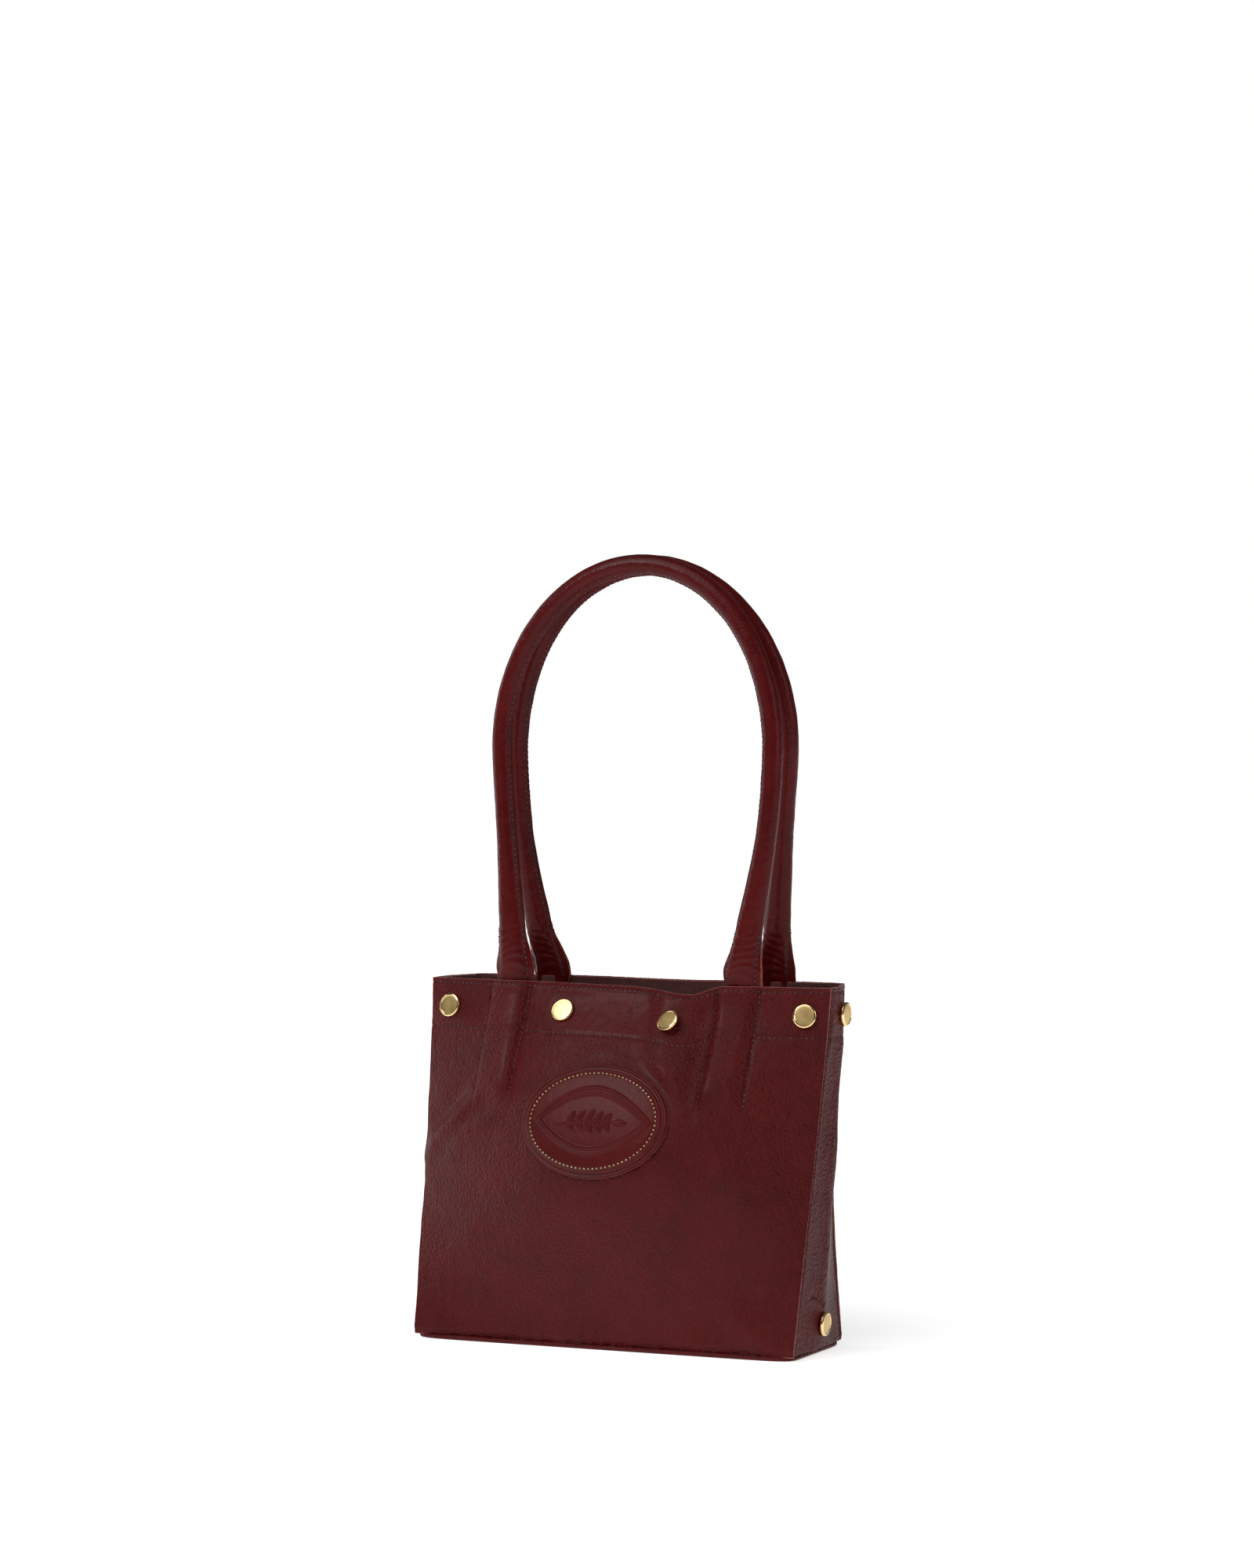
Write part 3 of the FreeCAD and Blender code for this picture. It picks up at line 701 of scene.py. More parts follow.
def panel_grid(surface, rim, corner_x, rows, cols):
    u = np.linspace(-1, 1, cols)[None, :]
    v = np.linspace(0, 1, rows)[:, None]
    z = FOOT + (rim(u * corner_x(HEIGHT)) - FOOT) * v
    return surface(u * corner_x(z), z)


for face, surface, rim, corner_x, toward, seed in (
    ("front", front_surface, front_rim, front_corner_x, (0, -1, 0), 21),
    ("back", back_surface, back_rim, back_corner_x, (0, 1, 0), 22),
):
    outer = panel_grid(surface, rim, corner_x, 230, 290)
    normal = grid_normals(outer, toward)
    outer = outer + normal * turned_foot(outer[..., 2])[..., None]
    piece = Piece(face + "_leather")
    leather_sheet(piece, outer, normal, HIDE, seed=seed)
    settle(piece.finish(SKIN), "bag", "leather", face + "_panel")


def surface_stitches(piece, surface, toward, lines):
    """Stitches along lines of (x, z) on a panel's face."""
    step = 0.4
    for line in lines:
        spots = holes_along(holes_along(line, 1.0), PITCH)
        x, z = spots[:, 0], spots[:, 1]
        middle = surface(x, z)
        tall = surface(x, z + step) - surface(x, z - step)
        wide = surface(x + step, z) - surface(x - step, z)
        stitch(piece, middle, turned(np.cross(wide, tall), np.array(toward)))


def panel_lines(rim, half, bands):
    """Top line, hem line broken at the bands, and both sides of each band."""
    def level(low_x, high_x, depth):
        x = np.linspace(low_x, high_x, 80)
        return points_of(x, rim(x) - depth)

    lines = [level(-half + 3, half - 3, RIM_SEAM)]
    marks = [-half + 4]
    for centre in bands:
        marks += [centre - BAND_HALF - 2, centre + BAND_HALF + 2]
    marks.append(half - 4)
    for low_x, high_x in zip(marks[::2], marks[1::2]):
        lines.append(level(low_x, high_x, FACING_DEPTH))
    for centre in bands:
        for side in (-1, 1):
            x = centre + side * (BAND_HALF + BAND_SEAM)
            depth = np.linspace(4, TAB_DEPTH + 2, 40)
            lines.append(points_of(x + 0 * depth, rim(np.full(40, x)) - depth))
    return lines


for name, surface, rim, half, toward in (
    ("front", front_surface, front_rim, HALF_MOUTH - 1, (0, -1, 0)),
    ("back", back_surface, back_rim, back_corner_x(HEIGHT) - 2, (0, 1, 0)),
):
    seams = Piece(name + "_stitching")
    surface_stitches(seams, surface, toward, panel_lines(rim, half, (-TAB_X, TAB_X)))
    settle(seams.finish((DARK_THREAD, HOLE_SHADE), weld=False), "bag", "leather")


# ======== gussets
def smooth_rows(points, reach):
    """Rounds the corners of each row by a short moving average; the row ends stay."""
    out = points.copy()
    for _ in range(reach):
        out[:, 1:-1] = (out[:, :-2] + 2 * out[:, 1:-1] + out[:, 2:]) / 4
    return out


def row_polyline(corners, count):
    """Even points along each row's polyline; corners is (rows, n, 3)."""
    return np.stack([even_points(row, count) for row in corners])


FLANGE = 8.5  # a gusset's turned edge behind each panel
SIDE_PITCH = 3.9
NOTCH = [(2, 30), (-8, 36), (-14, 37)]  # a crease low on the gusset, as (y, z)


def gusset_grid(side, rows, cols, seed):
    z = np.linspace(FOOT, HEIGHT, rows)
    front_x, back_x = front_corner_x(z), back_corner_x(z)
    fy, by, my = front_corner_y(z), back_corner_y(z), fold_y(z)
    sag = 1.6 * np.sin(np.pi * share(z))
    corners = [
        (front_x - FLANGE, fy + LAYER - bow(front_x - FLANGE, front_x, front_rise(z))),
        (front_x + 0.2, fy + LAYER + 0.2),
        (fold_x(z), my),
        (back_x + 0.2, by - LAYER - 0.2),
        (back_x - FLANGE, by - LAYER + bow(back_x - FLANGE, back_x, back_rise(z))),
    ]
    corners = np.stack([points_of(x, y, z) for x, y in corners], axis=1)
    points = smooth_rows(row_polyline(corners, cols), 10)
    normal = grid_normals(points, (1, 0, 0))
    depth = HEIGHT - points[..., 2]
    middle = my[:, None]
    from_front = points[..., 1] - (fy[:, None] + LAYER)
    from_back = (by[:, None] - LAYER) - points[..., 1]
    wall = smooth(1, 7, from_front) * smooth(1, 7, from_back)
    relief = -sag[:, None] * wall * (1 - bump(points[..., 1], middle, 9))
    relief += stitch_groove(from_front - SIDE_SEAM) + stitch_groove(from_back - SIDE_SEAM)
    relief += stitch_groove(depth - RIM_SEAM) + stitch_groove(depth - FACING_DEPTH)
    stretched = points * np.array([1, 1.2, 0.45])
    near_stud = np.maximum(bump(depth, STUD_DEPTH, 10), bump(points[..., 2], LOW_STUD_Z, 10))
    calm = near_stud * bump(points[..., 1], middle, 10)
    waves = 0.9 * field(points, 34, seed) + 0.36 * field(stretched, 6.5, seed + 1)
    relief += waves * wall * (1 - calm)
    relief += 0.14 * field(points, 3.4, seed + 2) * wall
    notch = path_distance(points[..., 1], points[..., 2], NOTCH)[0]
    relief -= 1.0 * bump(notch, 0, 1.6) * wall
    points = points + normal * relief[..., None]
    normal = grid_normals(points, (1, 0, 0))
    mirror = np.array([side, 1, 1])
    return points * mirror, normal * mirror


for side, hand in SIDES:
    outer, normal = gusset_grid(side, 220, 110, 30 + side * 3)
    piece = Piece(hand + "_gusset_leather")
    leather_sheet(piece, outer, normal, HIDE, seed=31 + side)
    settle(piece.finish(SKIN), "bag", "leather", hand + "_gusset")
    seams = Piece(hand + "_gusset_stitching")
    y_rows = outer[..., 1]
    z_rows = outer[:, 0, 2]
    inset = LAYER + SIDE_SEAM
    for target in (front_corner_y(z_rows) + inset, back_corner_y(z_rows) - inset):
        column = np.abs(y_rows - target[:, None]).argmin(axis=1)[4:-3]
        rows = np.arange(4, len(z_rows) - 3)
        sew(seams, outer[rows, column], normal[rows, column], SIDE_PITCH)
    for depth in (RIM_SEAM, FACING_DEPTH):
        row = np.abs(z_rows - (HEIGHT - depth)).argmin()
        sew(seams, outer[row, 14:-14], normal[row, 14:-14], PITCH)
    settle(seams.finish((DARK_THREAD, HOLE_SHADE), weld=False), "bag", "leather")


# ======== linings along the hem
FACING_LEATHER = 1.3


def behind(surface, toward, x, z, inset):
    """Points a set distance inside a panel's smooth face."""
    y = surface(x, z)[..., 1] - toward * inset
    return points_of(x + 0 * z, y, z + 0 * x)


def facing_inset(x):
    shape = np.zeros(np.shape(x))
    for centre in (-TAB_X, TAB_X):
        shape = np.maximum(shape, 1 - smooth(10.0, 20.0, np.abs(x - centre)))
    return LAYER + 0.1 + 2.8 * shape


for name, plain, rim, corner_x, toward in (
    ("front", front_plain, front_rim, front_corner_x, -1),
    ("back", back_plain, back_rim, back_corner_x, 1),
):
    u = np.linspace(-1, 1, 230)[None, :]
    v = np.linspace(0, 1, 30)[:, None]
    half = corner_x(HEIGHT) - LAYER - 1.6
    x = u * half + 0 * v
    z = rim(x) - 0.4 - (FACING_DEPTH - 0.4) * (1 - v)
    points = plain(x, z)
    soft = 1.3 * field(points, 64, 1 if toward < 0 else 11)
    forward = rim_push(x, rim(x) - z) if toward < 0 else 0
    points[..., 1] += toward * (soft * 0.6 + forward - facing_inset(x))
    normal = grid_normals(points, (0, toward, 0))
    piece = Piece(name + "_hem_facing")
    leather_sheet(piece, points, normal, FACING_LEATHER, seed=41)
    settle(piece.finish(SKIN), "bag", "leather", name + "_facing")

for side, hand in SIDES:
    z = np.linspace(HEIGHT - FACING_DEPTH, HEIGHT - 0.4, 26)
    front_x, back_x, middle_x = front_corner_x(z), back_corner_x(z), fold_x(z)
    places = (
        (front_x + (middle_x - front_x) * 0.2, front_corner_y(z) + FLANGE),
        (middle_x, fold_y(z)),
        (back_x + (middle_x - back_x) * 0.3, back_corner_y(z) - FLANGE),
    )
    corners = np.stack([points_of(x - LAYER, y, z) for x, y in places], axis=1)
    points = smooth_rows(row_polyline(corners, 36), 4)
    normal = grid_normals(points, (1, 0, 0))
    mirror = np.array([side, 1, 1])
    piece = Piece(hand + "_hem_facing")
    leather_sheet(piece, points * mirror, normal * mirror, FACING_LEATHER, seed=43 + side)
    settle(piece.finish(SKIN), "bag", "leather", hand + "_facing")


# ======== base
SQUARENESS = 0.16  # power of the base's outline: 1 is an oval, 0 a rectangle


def base_plate():
    """A leather base with a rolled lower edge, on the floor."""
    thick = base_high[2]
    section = [(-9.0, 0.25), (-4.0, 0.05), (-1.6, 0.0), (-0.7, 0.25), (-0.15, 0.8), (0.0, 1.5)]
    section += [(-0.15, thick - 0.8), (-0.7, thick - 0.25), (-1.6, thick), (-9.0, thick)]
    count = 420
    angle = turns(count)
    rows = []
    for offset, z in section:
        x = (HALF_BASE + offset) * np.sign(np.cos(angle)) * np.abs(np.cos(angle)) ** SQUARENESS
        y = (BASE_HALF_DEPTH + offset) * np.sign(np.sin(angle)) * np.abs(np.sin(angle)) ** SQUARENESS
        rows.append(points_of(x, y, np.full(count, z)))
    rows = np.array(rows)
    centre = np.zeros((1, count, 3))
    low, high = centre.copy(), centre.copy()
    low[..., 2], high[..., 2] = 0.25, thick
    rows = np.concatenate([low, rows, high])
    piece = Piece("base_leather")
    piece.add(rows, grid_faces(len(rows), count, wrap=True))
    return piece.finish((LEATHER,))


settle(base_plate(), "bag", "leather", "base_panel")


# ======== handle tabs and their patches
PATCH_PITCH = 3.6


def strip_behind(name, node, plain, toward, x_span, z_span, inset, thick, cells, stitched=False):
    x = np.linspace(*x_span, cells[1])[None, :] + np.zeros((cells[0], 1))
    z = np.linspace(*z_span, cells[0])[:, None] + np.zeros((1, cells[1]))
    points = behind(plain, toward, x, z, inset)
    points[..., 1] += toward * 0.2 * field(points, 9, 50)
    normal = grid_normals(points, (0, toward, 0))
    piece = Piece(name)
    leather_sheet(piece, points, normal, thick, seed=51)
    if stitched:
        inside = points - normal * (thick + 0.02)
        for row in (inside[2:-2, 2], inside[2:-2, -3], inside[2, 2:-2]):
            spots = holes_along(row, PATCH_PITCH)
            stitch(piece, spots, np.tile(-normal[0, 0], (len(spots), 1)), slots=(3, 4))
    settle(piece.finish(SKIN + (DARK_THREAD, HOLE_SHADE)), "bag", "leather", node)


TAB_THICK = 2.6
TAB_HALF = 9.8
PATCH_HALF = 16
for face, plain, toward in (("front", front_plain, -1), ("back", back_plain, 1)):
    for side, hand in SIDES:
        middle = side * TAB_X
        reach = (middle - TAB_HALF, middle + TAB_HALF)
        tall = (HEIGHT - TAB_DEPTH, HEIGHT - 1.5)
        tab_node = f"{face}_{hand}_handle_tab"
        strip_behind(
            tab_node + "_leather", tab_node, plain, toward, reach, tall, LAYER, TAB_THICK, (60, 16),
        )
        reach = (middle - PATCH_HALF, middle + PATCH_HALF)
        tall = (HEIGHT - TAB_DEPTH - 6, HEIGHT - FACING_DEPTH - 0.6)
        patch_node = f"{face}_{hand}_tab_patch"
        strip_behind(
            patch_node + "_leather", patch_node, plain, toward, reach, tall,
            LAYER + TAB_THICK + 0.3, FACING_LEATHER, (40, 30), stitched=True,
        )


# ======== oval badge
RINGS = 120
SPOKES = 460
BADGE_THICK = 1.5
BACKING_LIFT = 0.35  # underside of the backing over the panel
FACE_LIFT = 1.95  # underside of the face over the panel
BADGE_SEAM = 2.4  # stitches in from the face's edge
BADGE_SKIN = (BADGE_LEATHER, RAW_EDGE, FLESH)


def oval_grid(half):
    r = (np.linspace(0.002, 1, RINGS) ** 0.9)[:, None]
    angle = turns(SPOKES)[None, :]
    return half[0] * r * np.cos(angle), half[1] * r * np.sin(angle), r + 0 * angle


def badge_base(x, z):
    """The calm front face under the badge, with its normals."""
    plain = front_plain(x, z)
    normal = face_normal(front_plain, x, z, -1)
    return plain + normal * (0.3 * front_swell(plain))[..., None], normal


def oval_layer(node, half, lift, relief):
    """One oval of badge leather; returns its base points, their normals and the edge distance."""
    x, z, r = oval_grid(half)
    base, normal = badge_base(x, z + BADGE_Z)
    edge = (1 - r) * min(half)
    roll = BADGE_THICK * (1 - np.sqrt(np.maximum(1 - np.clip(1 - edge / 1.2, 0, 1) ** 2, 0)))
    height = lift + BADGE_THICK - roll * 0.75 + relief(x, z, edge)
    outer = base + normal * height[..., None]
    under = base + normal * lift
    wall_top = outer[-1:]
    rough = 0.10 * field(wall_top, 0.8, 60)[..., None]
    away = unit(wall_top - outer[-6:-5])
    middle = (wall_top + under[-1:]) / 2 + away * (0.22 + rough)
    piece = Piece(node + "_leather")
    piece.add(outer, grid_faces(RINGS, SPOKES, wrap=True), 0)
    wall = np.concatenate([wall_top, middle, under[-1:]])
    piece.add(wall, grid_faces(3, SPOKES, wrap=True), 1)
    piece.add(under[::12], grid_faces(len(under[::12]), SPOKES, wrap=True), 2)
    settle(piece.finish(BADGE_SKIN, weld=False), "bag", "leather", node)
    return base, normal, edge


def backing_relief(x, z, edge):
    """Two padded rolls round the rim with a groove between them."""
    return 0.75 * bump(edge, 1.0, 0.9) + 0.2 * bump(edge, 3.4, 1.0)


def leaf(x, z, root, angle, length, width):
    """A pointed leaf pressed up out of the badge, with a sunk midrib."""
    dx, dz = x - root[0], z - root[1]
    along = dx * math.cos(angle) + dz * math.sin(angle)
    across = -dx * math.sin(angle) + dz * math.cos(angle)
    t = np.clip(along / length, 0, 1)
    half = width * np.sin(np.pi * t ** 0.8) ** 0.9 + 1e-6
    inside = np.clip(1 - np.abs(across) / half, 0, 1) * ((along > 0) & (along < length))
    return 0.85 * np.sqrt(inside) - 0.5 * bump(across, 0, 0.28) * (inside > 0)


def sprig(x, z):
    """A plain leafy sprig lying along the badge."""
    stem = [(-21, -2.5), (-12, -0.5), (0, 0.4), (12, 0.2), (19, -0.6)]
    relief = 0.6 * bump(path_distance(x, z, stem)[0], 0, 0.5)
    for i, root_x in enumerate((-15, -9, -3, 3, 9)):
        size = 8.6 - abs(i - 2) * 0.8
        root = (root_x, 0.3 * math.sin(i))
        for lean in (0.92, -0.92):
            relief = np.maximum(relief, leaf(x, z, root, lean, size, 2.1))
    tip = leaf(x, z, (14.5, -0.2), -0.05, 9.5, 2.2)
    return np.maximum(relief, tip)


def almond(x, z, half_x, half_z):
    """Signed distance-like value of a pointed oval: below 0 inside."""
    return np.abs(z) / half_z - (1 - (np.abs(x) / half_x) ** 1.9)


def face_relief(x, z, edge):
    groove = -0.3 * bump(edge, BADGE_SEAM, 0.7) + 0.5 * bump(edge, 0.9, 0.8)
    double = 0.85 * bump(almond(x, z, 38.0, 19.0) * 12, 0, 0.55)
    double += 0.6 * bump(almond(x, z, 35.0, 16.2) * 12, 0, 0.45)
    ground = -0.75 * (1 - smooth(-0.12, -0.02, almond(x, z, 35.0, 16.2)))
    pebbly = 0.07 * np.sin(x * 4.1 + np.sin(z * 3.3)) * np.sin(z * 4.3 + np.sin(x * 2.9))
    shape = points_of(x, z, 0 * x)
    pebbly = pebbly * (ground < -0.2) + 0.05 * field(shape, 3, 61)
    return groove + double + ground + 1.3 * sprig(x, z) + pebbly


oval_layer("badge_backing", BACKING_HALF, BACKING_LIFT, backing_relief)
base, normal, edge = oval_layer("badge_face", BADGE_HALF, FACE_LIFT, face_relief)
ring = np.abs(edge[:, 0] - BADGE_SEAM).argmin()
closed = np.arange(SPOKES + 1) % SPOKES
line = base[ring, closed] + normal[ring, closed] * (FACE_LIFT + BADGE_THICK - 0.25)
piece = Piece("badge_stitching")
sew(piece, line, normal[ring, closed], 2.8, radius=0.5, sink=0.0, arch=0.3, hole=0.4)
settle(piece.finish((PALE_THREAD, HOLE_SHADE), weld=False), "bag", "leather")


# ======== studs
STUD_RADIUS = 7.5
STUD_THICK = 2.2
CAP_TOP = (  # the cap's section from its middle out: radius, drop below the top
    (0.02, 0.25), (3.0, 0.25), (5.6, 0.28), (5.85, 0.30), (6.0, 0.18), (6.2, 0.02), (6.45, 0),
    (6.8, 0.1), (7.2, 0.42), (7.42, 0.85),
)
CAP_UNDER = ((STUD_RADIUS, 1.0), (7.42, 0.25), (7.1, 0.02), (0.02, 0.02))  # radius, height


def stud(piece, point, normal, seed):
    """A flat satin cap with a bright bevelled rim."""
    profile = [(radius, STUD_THICK - drop) for radius, drop in CAP_TOP] + list(CAP_UNDER)
    across = unit(np.cross(normal, [0, 0, 1.0]))
    upright = np.cross(across, normal)
    angle = turns(96)
    rows = []
    for radius, height in profile:
        ring = np.cos(angle)[:, None] * across + np.sin(angle)[:, None] * upright
        dent = 0.02 * math.sin(seed * 3 + radius * 2) if radius < 5 else 0
        rows.append(point + ring * radius + normal * (height + dent))
    rows = np.array(rows)
    slots = np.repeat([0, 0, 0] + [1] * (len(profile) - 4), len(angle))
    piece.add(rows, grid_faces(len(rows), len(angle), wrap=True), slots)


def seat_on(surface, x, z, toward):
    x, z = np.array([float(x)]), np.array([float(z)])
    reach = 7.0
    centre = surface(x, z)[0]
    wide = (surface(x + reach, z) - surface(x - reach, z))[0]
    tall = (surface(x, z + reach) - surface(x, z - reach))[0]
    normal = turned(np.cross(wide, tall), np.array(toward))
    return centre + normal * 0.2, normal


for name, surface, rim, places, toward in (
    ("front", front_surface, front_rim, FRONT_STUDS, (0, -1, 0)),
    ("back", back_surface, back_rim, BACK_STUDS, (0, 1, 0)),
):
    piece = Piece(name + "_studs")
    for i, x in enumerate(places):
        z = float(rim(np.array([float(x)]))[0]) - STUD_DEPTH
        point, normal = seat_on(surface, x, z, toward)
        if name == "front" and i == 2:
            normal = unit(normal + np.array([-0.40, 0.0, 0.20]))
            point = point + np.array([0, -1.9, 0])
        stud(piece, point, normal, i)
    settle(piece.finish((GOLD_FACE, GOLD_RIM), sharp=24), "bag", "brass", name + "_stud_caps")
for side, hand in SIDES:
    piece = Piece(hand + "_gusset_studs")
    for z in (HEIGHT - STUD_DEPTH, LOW_STUD_Z):
        slope = (fold_x(z + 1) - fold_x(z - 1)) / 2
        normal = unit(np.array([side * 1.0, 0.0, -slope]))
        point = np.array([side * fold_x(z), fold_y(z), z]) + normal * 0.3
        stud(piece, point, normal, z)
    settle(piece.finish((GOLD_FACE, GOLD_RIM), sharp=24), "bag", "brass", hand + "_gusset_stud_caps")


# ======== handles
TUBE = 6.2
HINGE_RISE = 9.0
DROP = 267.0
ARCH = (91.0, 109.0)  # half width and rise of the arch centreline
REST_GAP = 14.0
ARCH_Z = HEIGHT + DROP - TUBE - ARCH[1]
HINGE_Z = HEIGHT + HINGE_RISE
FOOT_Z = HEIGHT - 6.0
FLAT_HALF = 10.4  # half width of the flattened foot
FLAT_DEEP = 3.6  # half depth of the flattened foot
STEP = 1.3  # point spacing along the handle
CORE_RADIUS = 4.0
ROPE_SIDES = 24
CORE_START = 38.0  # height over the rim where the rope begins
FLARE_TOP = 95.0  # height over the rim where the tube is round again
LEG_BOWS = {"front": (1, 5.6, 95, 62), "back": (-1, 8.5, 85, 80)}  # side, size, height, reach
LONG_FLANGE = 4.0
SHORT_FLANGE = 2.4
HOLLOW = 3.6  # depth of the hollow in the foot
LIP = 1.1
FLANGE_SEAM = 0.34  # angle of the foot's seams from its edges
TUBE_SEAM = 0.42  # angle of the tube's stitches from its seam


def handle_line():
    """The handle's centreline in its own plane, as even (x, height) points."""
    squash = ARCH[0] / ARCH[1]
    drop = (ARCH_Z - HINGE_Z) * squash
    lean = math.asin(ARCH[0] / math.hypot(TAB_X, drop)) - math.atan2(TAB_X, drop)
    turn = np.linspace(-lean, np.pi + lean, 400)
    arch = np.stack([ARCH[0] * np.cos(turn), ARCH_Z + ARCH[1] * np.sin(turn)], axis=-1)
    right = [(TAB_X, FOOT_Z), (TAB_X, HINGE_Z)]
    left = [(-TAB_X, HINGE_Z), (-TAB_X, FOOT_Z)]
    path = holes_along(np.concatenate([right, arch, left]), STEP)
    for _ in range(30):
        path[1:-1] = (path[:-2] + 2 * path[1:-1] + path[2:]) / 4
    return path


def leg_bow(rise, centre, reach):
    """Sideways set of a leg, 1 at its fullest and 0 where it enters the bag."""
    return bump(rise, centre, reach) * smooth(-6, 30, rise)


def handle(face, toward):
    joint = joint_point(f"{face}_handle_swing")
    other = joint_point("back_handle_swing" if face == "front" else "front_handle_swing")
    top_y = (joint[1] + other[1]) / 2 + toward * REST_GAP / 2
    tilt = math.atan2(top_y - joint[1], ARCH_Z + ARCH[1] - HINGE_Z)
    path = handle_line()
    tangent = unit(np.gradient(path, axis=0))
    outside = np.stack([tangent[:, 1], -tangent[:, 0]], axis=-1)

    def place(flat, lift):
        """Flat (x, height) points pushed out of the handle's plane by lift, then tilted."""
        h = np.maximum(flat[..., 1] - HINGE_Z, 0)
        low = np.minimum(flat[..., 1], HINGE_Z)
        y = joint[1] + math.sin(tilt) * h + toward * lift * math.cos(tilt)
        return np.stack([flat[..., 0], y, low + math.cos(tilt) * h], axis=-1)

    count = 112
    phi = turns(count)[None, :]
    rise = (path[:, 1] - HEIGHT)[:, None]  # height over the rim
    length = np.arange(len(path))[:, None] * STEP
    right = (path[:, 0] > 0)[:, None]
    taper = np.clip(1 - rise / FLARE_TOP, 0, 1) ** 1.3
    half_wide = TUBE + (FLAT_HALF - TUBE) * taper
    half_deep = TUBE + (FLAT_DEEP - TUBE) * (1 - smooth(-6, 24, rise))
    cos, sin = np.cos(phi), np.sin(phi)
    wide = half_wide * cos
    deep = half_deep * sin
    # each handle hangs a little askew: one leg bows to its own side
    side, size, height, reach = LEG_BOWS[face]
    path[:, 0] += side * np.where(path[:, 0] * side > 0, size * leg_bow(rise[:, 0], height, reach), 0)
    # side flanges of the flattened foot: the one towards +X is long, the other short
    to_right = np.where(right, 1, -1) * np.sign(cos)
    long_flange = LONG_FLANGE * (1 - smooth(4, 36, rise)) * smooth(-8, 2, rise)
    short_flange = SHORT_FLANGE * bump(rise, 10, 9)
    flange = np.where(to_right > 0, long_flange, short_flange)
    fin = bump(sin, 0, 0.20) * flange
    ruffle = 1 + 0.04 * np.sin(length * 0.5)
    wide = wide + np.sign(cos) * fin * ruffle
    # hollow on the side that faces the other handle, where the rolled edges part
    inner = bump(phi, 1.5 * np.pi, 0.62)
    opening = 1 - smooth(14, 34, rise)
    deep = deep + inner * opening * HOLLOW
    lips = bump(np.abs(phi - 1.5 * np.pi), 0.85, 0.22) * opening
    deep = deep - lips * LIP
    # seam along the underside of the arch, and creases across it
    tube = smooth(26, 46, rise)
    off_seam = phi - np.pi
    ring = 0.75 * bump(np.abs(off_seam), 0.17, 0.11) - bump(off_seam, 0, 0.055)
    inside_bend = np.clip(-cos, 0, 1) ** 1.5
    bend = smooth(60, 130, rise)
    waver = np.sin(length * 0.21) * 0.9 + np.sin(length * 0.083) * 1.3
    crease = np.sin(length * 2 * np.pi / 3.4 + waver + 0.7 * np.sin(phi * 3))
    swell = 0.16 * crease * inside_bend * bend
    low_crease = np.sin(length * 2 * np.pi / 5.3 + 2.2 * np.sin(phi * 2 + length * 0.13))
    swell = swell + 0.26 * low_crease * bump(rise, 16, 18) * np.abs(sin) ** 0.5
    radial = swell + ring * tube * 0.9
    flat = path[:, None, :] + outside[:, None, :] * (wide + radial * cos)[..., None]
    points = place(flat, deep + radial * sin)
    centre = place(path[:, None, :] + 0 * flat, 0 * deep)
    outward = unit(points - centre)
    rough = 0.22 * field(points, 11, 70) + 0.10 * field(points, 3.6, 71)
    points = points + outward * rough[..., None]
    piece = Piece(f"{face}_handle_leather")
    edge = ((fin > 0.9) & (np.abs(sin) < 0.07))[:-1].reshape(-1)
    ends = np.concatenate([centre[:1], points, centre[-1:]])
    capped = np.concatenate([np.zeros(count), edge, np.zeros(count)])
    piece.add(ends, grid_faces(len(ends), count, wrap=True), capped)
    # stitches: along both flanges of each foot, and both sides of the seam
    normal = grid_normals_round(points, outward)
    for leg_right in (True, False):
        rows = np.nonzero((right[:, 0] == leg_right) & (rise[:, 0] > 1.5) & (rise[:, 0] < 33))[0]
        for angle in (FLANGE_SEAM, np.pi - FLANGE_SEAM):
            column = int(round(angle / (2 * np.pi) * count)) % count
            sew(piece, points[rows, column], normal[rows, column], 3.4, slots=(2, 3))
    rows = np.nonzero(rise[:, 0] > 40)[0]
    for angle in (np.pi - TUBE_SEAM, np.pi + TUBE_SEAM):
        column = int(round(angle / (2 * np.pi) * count))
        sew(piece, points[rows, column], normal[rows, column], 3.6, slots=(2, 3), radius=0.36)
    cover = piece.finish((ROLLED, RAW_EDGE, DARK_THREAD, HOLE_SHADE), weld=False)
    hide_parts(f"{face}_handle_cover")
    # rope inside the tube, from just above the bend
    inside = path[rise[:, 0] > CORE_START]
    lifted = outside[rise[:, 0] > CORE_START]
    turn = turns(ROPE_SIDES)[None, :]
    lay = np.arange(len(inside))[:, None] * 0.5
    girth = CORE_RADIUS * (1 + 0.06 * np.sin(turn * 3 + lay))
    flat = inside[:, None, :] + lifted[:, None, :] * (girth * np.cos(turn))[..., None]
    rope = place(flat, girth * np.sin(turn))
    middle = rope.mean(axis=1, keepdims=True) + 0 * rope
    rope = np.concatenate([middle[:1], rope, middle[-1:]])
    strand = Piece(f"{face}_handle_rope")
    strand.add(rope, grid_faces(len(rope), ROPE_SIDES, wrap=True))
    settle(strand.finish((ROPE,), weld=False), f"{face}_handle", "rope", f"{face}_handle_core")
    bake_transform(cover)


def grid_normals_round(points, outward):
    around = np.roll(points, -1, axis=1) - np.roll(points, 1, axis=1)
    normal = np.cross(around, np.gradient(points, axis=0))
    return turned(normal, outward)


handle("front", -1)
handle("back", 1)


# ======== carried-over CAD parts
def paint(node, material):
    target = frame["nodes"][node]
    target.data.materials.clear()
    target.data.materials.append(material)


for node in frame["nodes"]:
    if node.endswith("stud_rivets"):
        paint(node, GOLD_FACE)
paint("base_stiffener", BOARD)


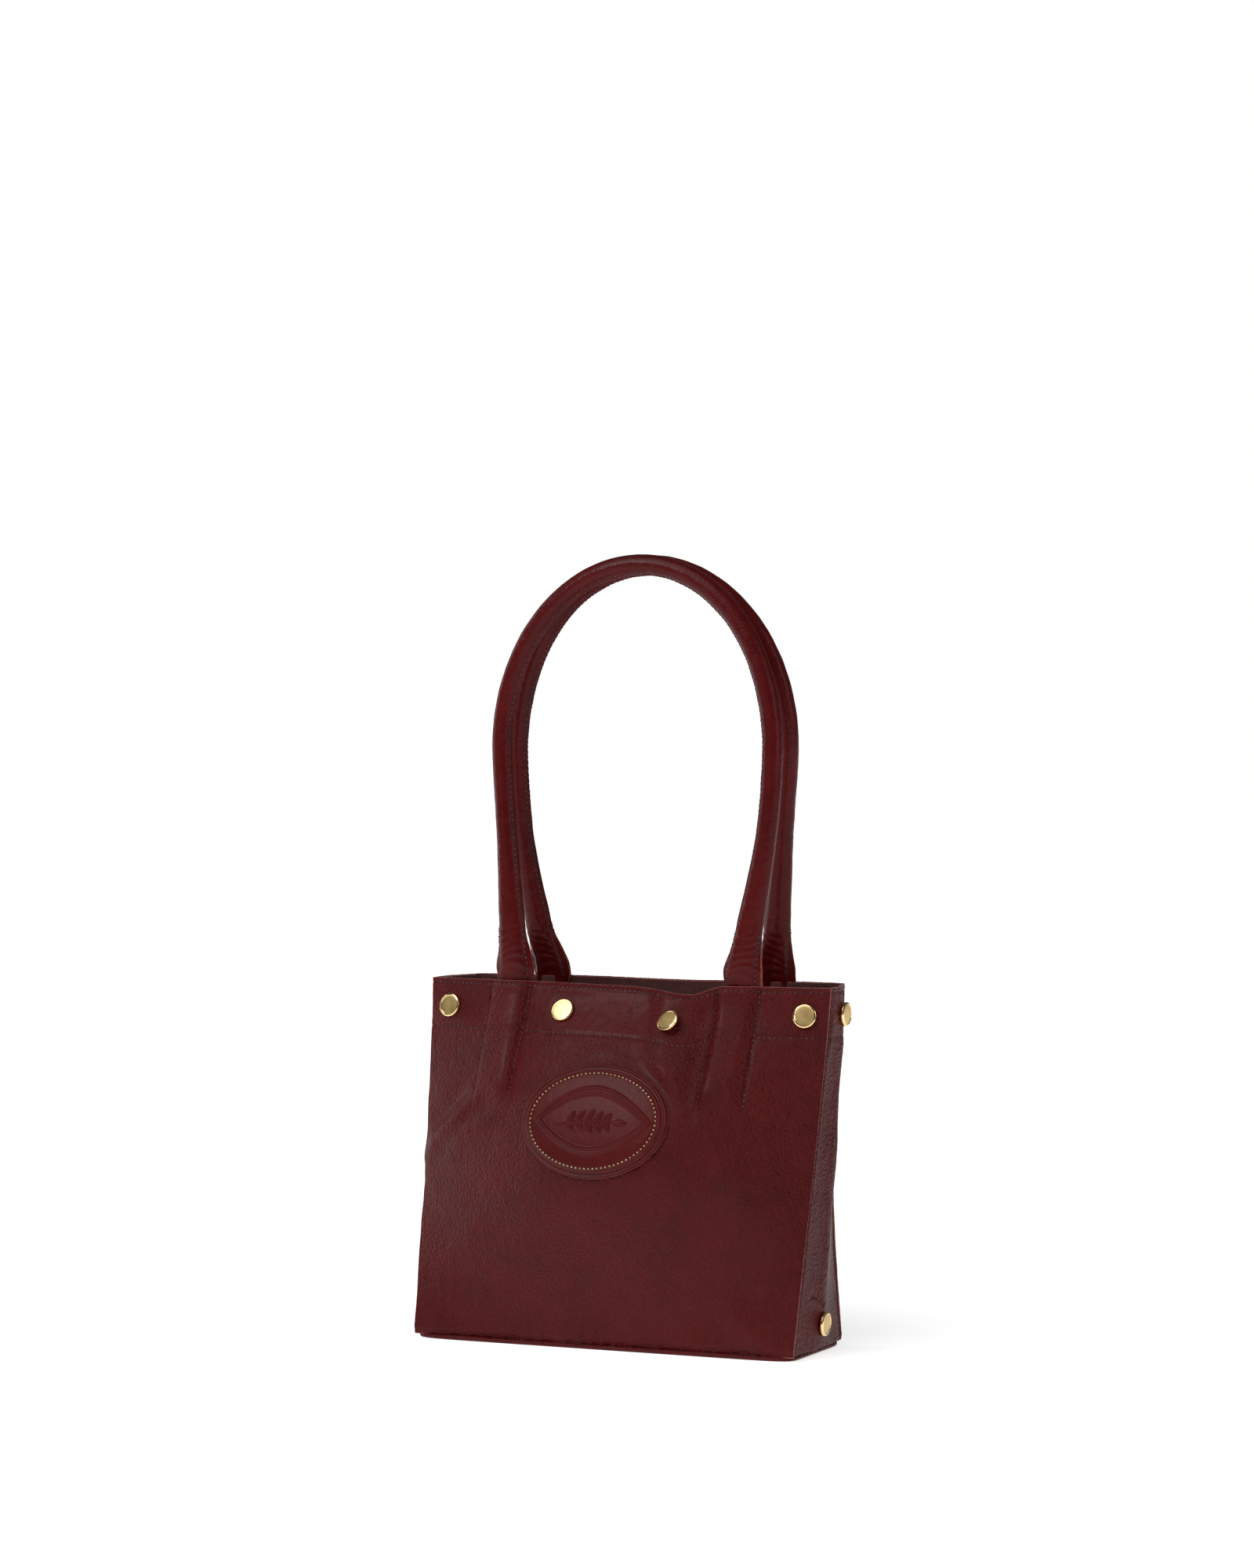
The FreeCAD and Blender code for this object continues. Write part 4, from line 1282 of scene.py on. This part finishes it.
# ======== floor, light and camera
def floor():
    piece = Piece("floor")
    radius = np.array([1.0, 9000.0])[:, None]
    angle = turns(64)[None, :]
    level = np.full((len(radius), angle.shape[1]), -0.05)
    disc = points_of(radius * np.cos(angle), radius * np.sin(angle), level)
    piece.add(disc, grid_faces(2, 64, wrap=True))
    material, tree, shader, where = node_tree("pale_floor")
    tone = noise_node(tree, where, 3.0)
    colour_by(tree, shader, tone, [(0.3, (0.88, 0.88, 0.88)), (0.7, (0.90, 0.90, 0.90))])
    shader.inputs["Roughness"].default_value = 0.85
    shader.inputs["Emission Color"].default_value = (1, 1, 1, 1)
    shader.inputs["Emission Strength"].default_value = 0.66
    piece.finish((material,), weld=False)


floor()
world = bpy.data.worlds.new("studio")
world.use_nodes = True
backdrop = world.node_tree.nodes["Background"]
backdrop.inputs["Color"].default_value = (1, 1, 1, 1)
ray = world.node_tree.nodes.new("ShaderNodeLightPath")
level = world.node_tree.nodes.new("ShaderNodeMapRange")
level.inputs["To Min"].default_value = 0.12         # light that the room gives
level.inputs["To Max"].default_value = 1.0          # the white backdrop as it is seen
world.node_tree.links.new(ray.outputs["Is Camera Ray"], level.inputs["Value"])
world.node_tree.links.new(level.outputs["Result"], backdrop.inputs["Strength"])
bpy.context.scene.world = world
bpy.context.scene.view_settings.view_transform = "Standard"


def soft_light(name, position, size, power):
    data = bpy.data.lights.new(name, "AREA")
    data.shape = "RECTANGLE"
    data.size, data.size_y = size
    data.energy = power
    lamp = placed(name, data)
    lamp.location = position
    aim = Vector((0.0, 0.0, 0.2)) - Vector(position)
    lamp.rotation_euler = aim.to_track_quat("-Z", "Y").to_euler()


soft_light("key", (-1.1, -1.8, 1.9), (0.55, 0.55), 17)
soft_light("right_fill", (2.3, -0.4, 1.2), (0.5, 1.6), 9)
soft_light("left_edge", (-2.2, 0.3, 0.8), (0.4, 1.6), 9)

sun = bpy.data.lights.new("overhead", "SUN")
sun.energy = 1.25
sun.angle = math.radians(50)
placed("overhead", sun).rotation_euler = (math.radians(32), math.radians(-14), 0)

AZIMUTH = math.radians(24.3)
DISTANCE = 2.6
EYE_HEIGHT = 0.3861
PITCH_DOWN = math.radians(0.9)
LENS = 96.5
camera_data = bpy.data.cameras.new("camera")
camera_data.lens = LENS
camera_data.sensor_width = 36.0
camera = placed("camera", camera_data)
camera.location = (DISTANCE * math.sin(AZIMUTH), -DISTANCE * math.cos(AZIMUTH), EYE_HEIGHT)
ahead = Vector((-math.sin(AZIMUTH), math.cos(AZIMUTH), -math.tan(PITCH_DOWN)))
camera.rotation_euler = ahead.to_track_quat("-Z", "Y").to_euler()
bpy.context.scene.camera = camera
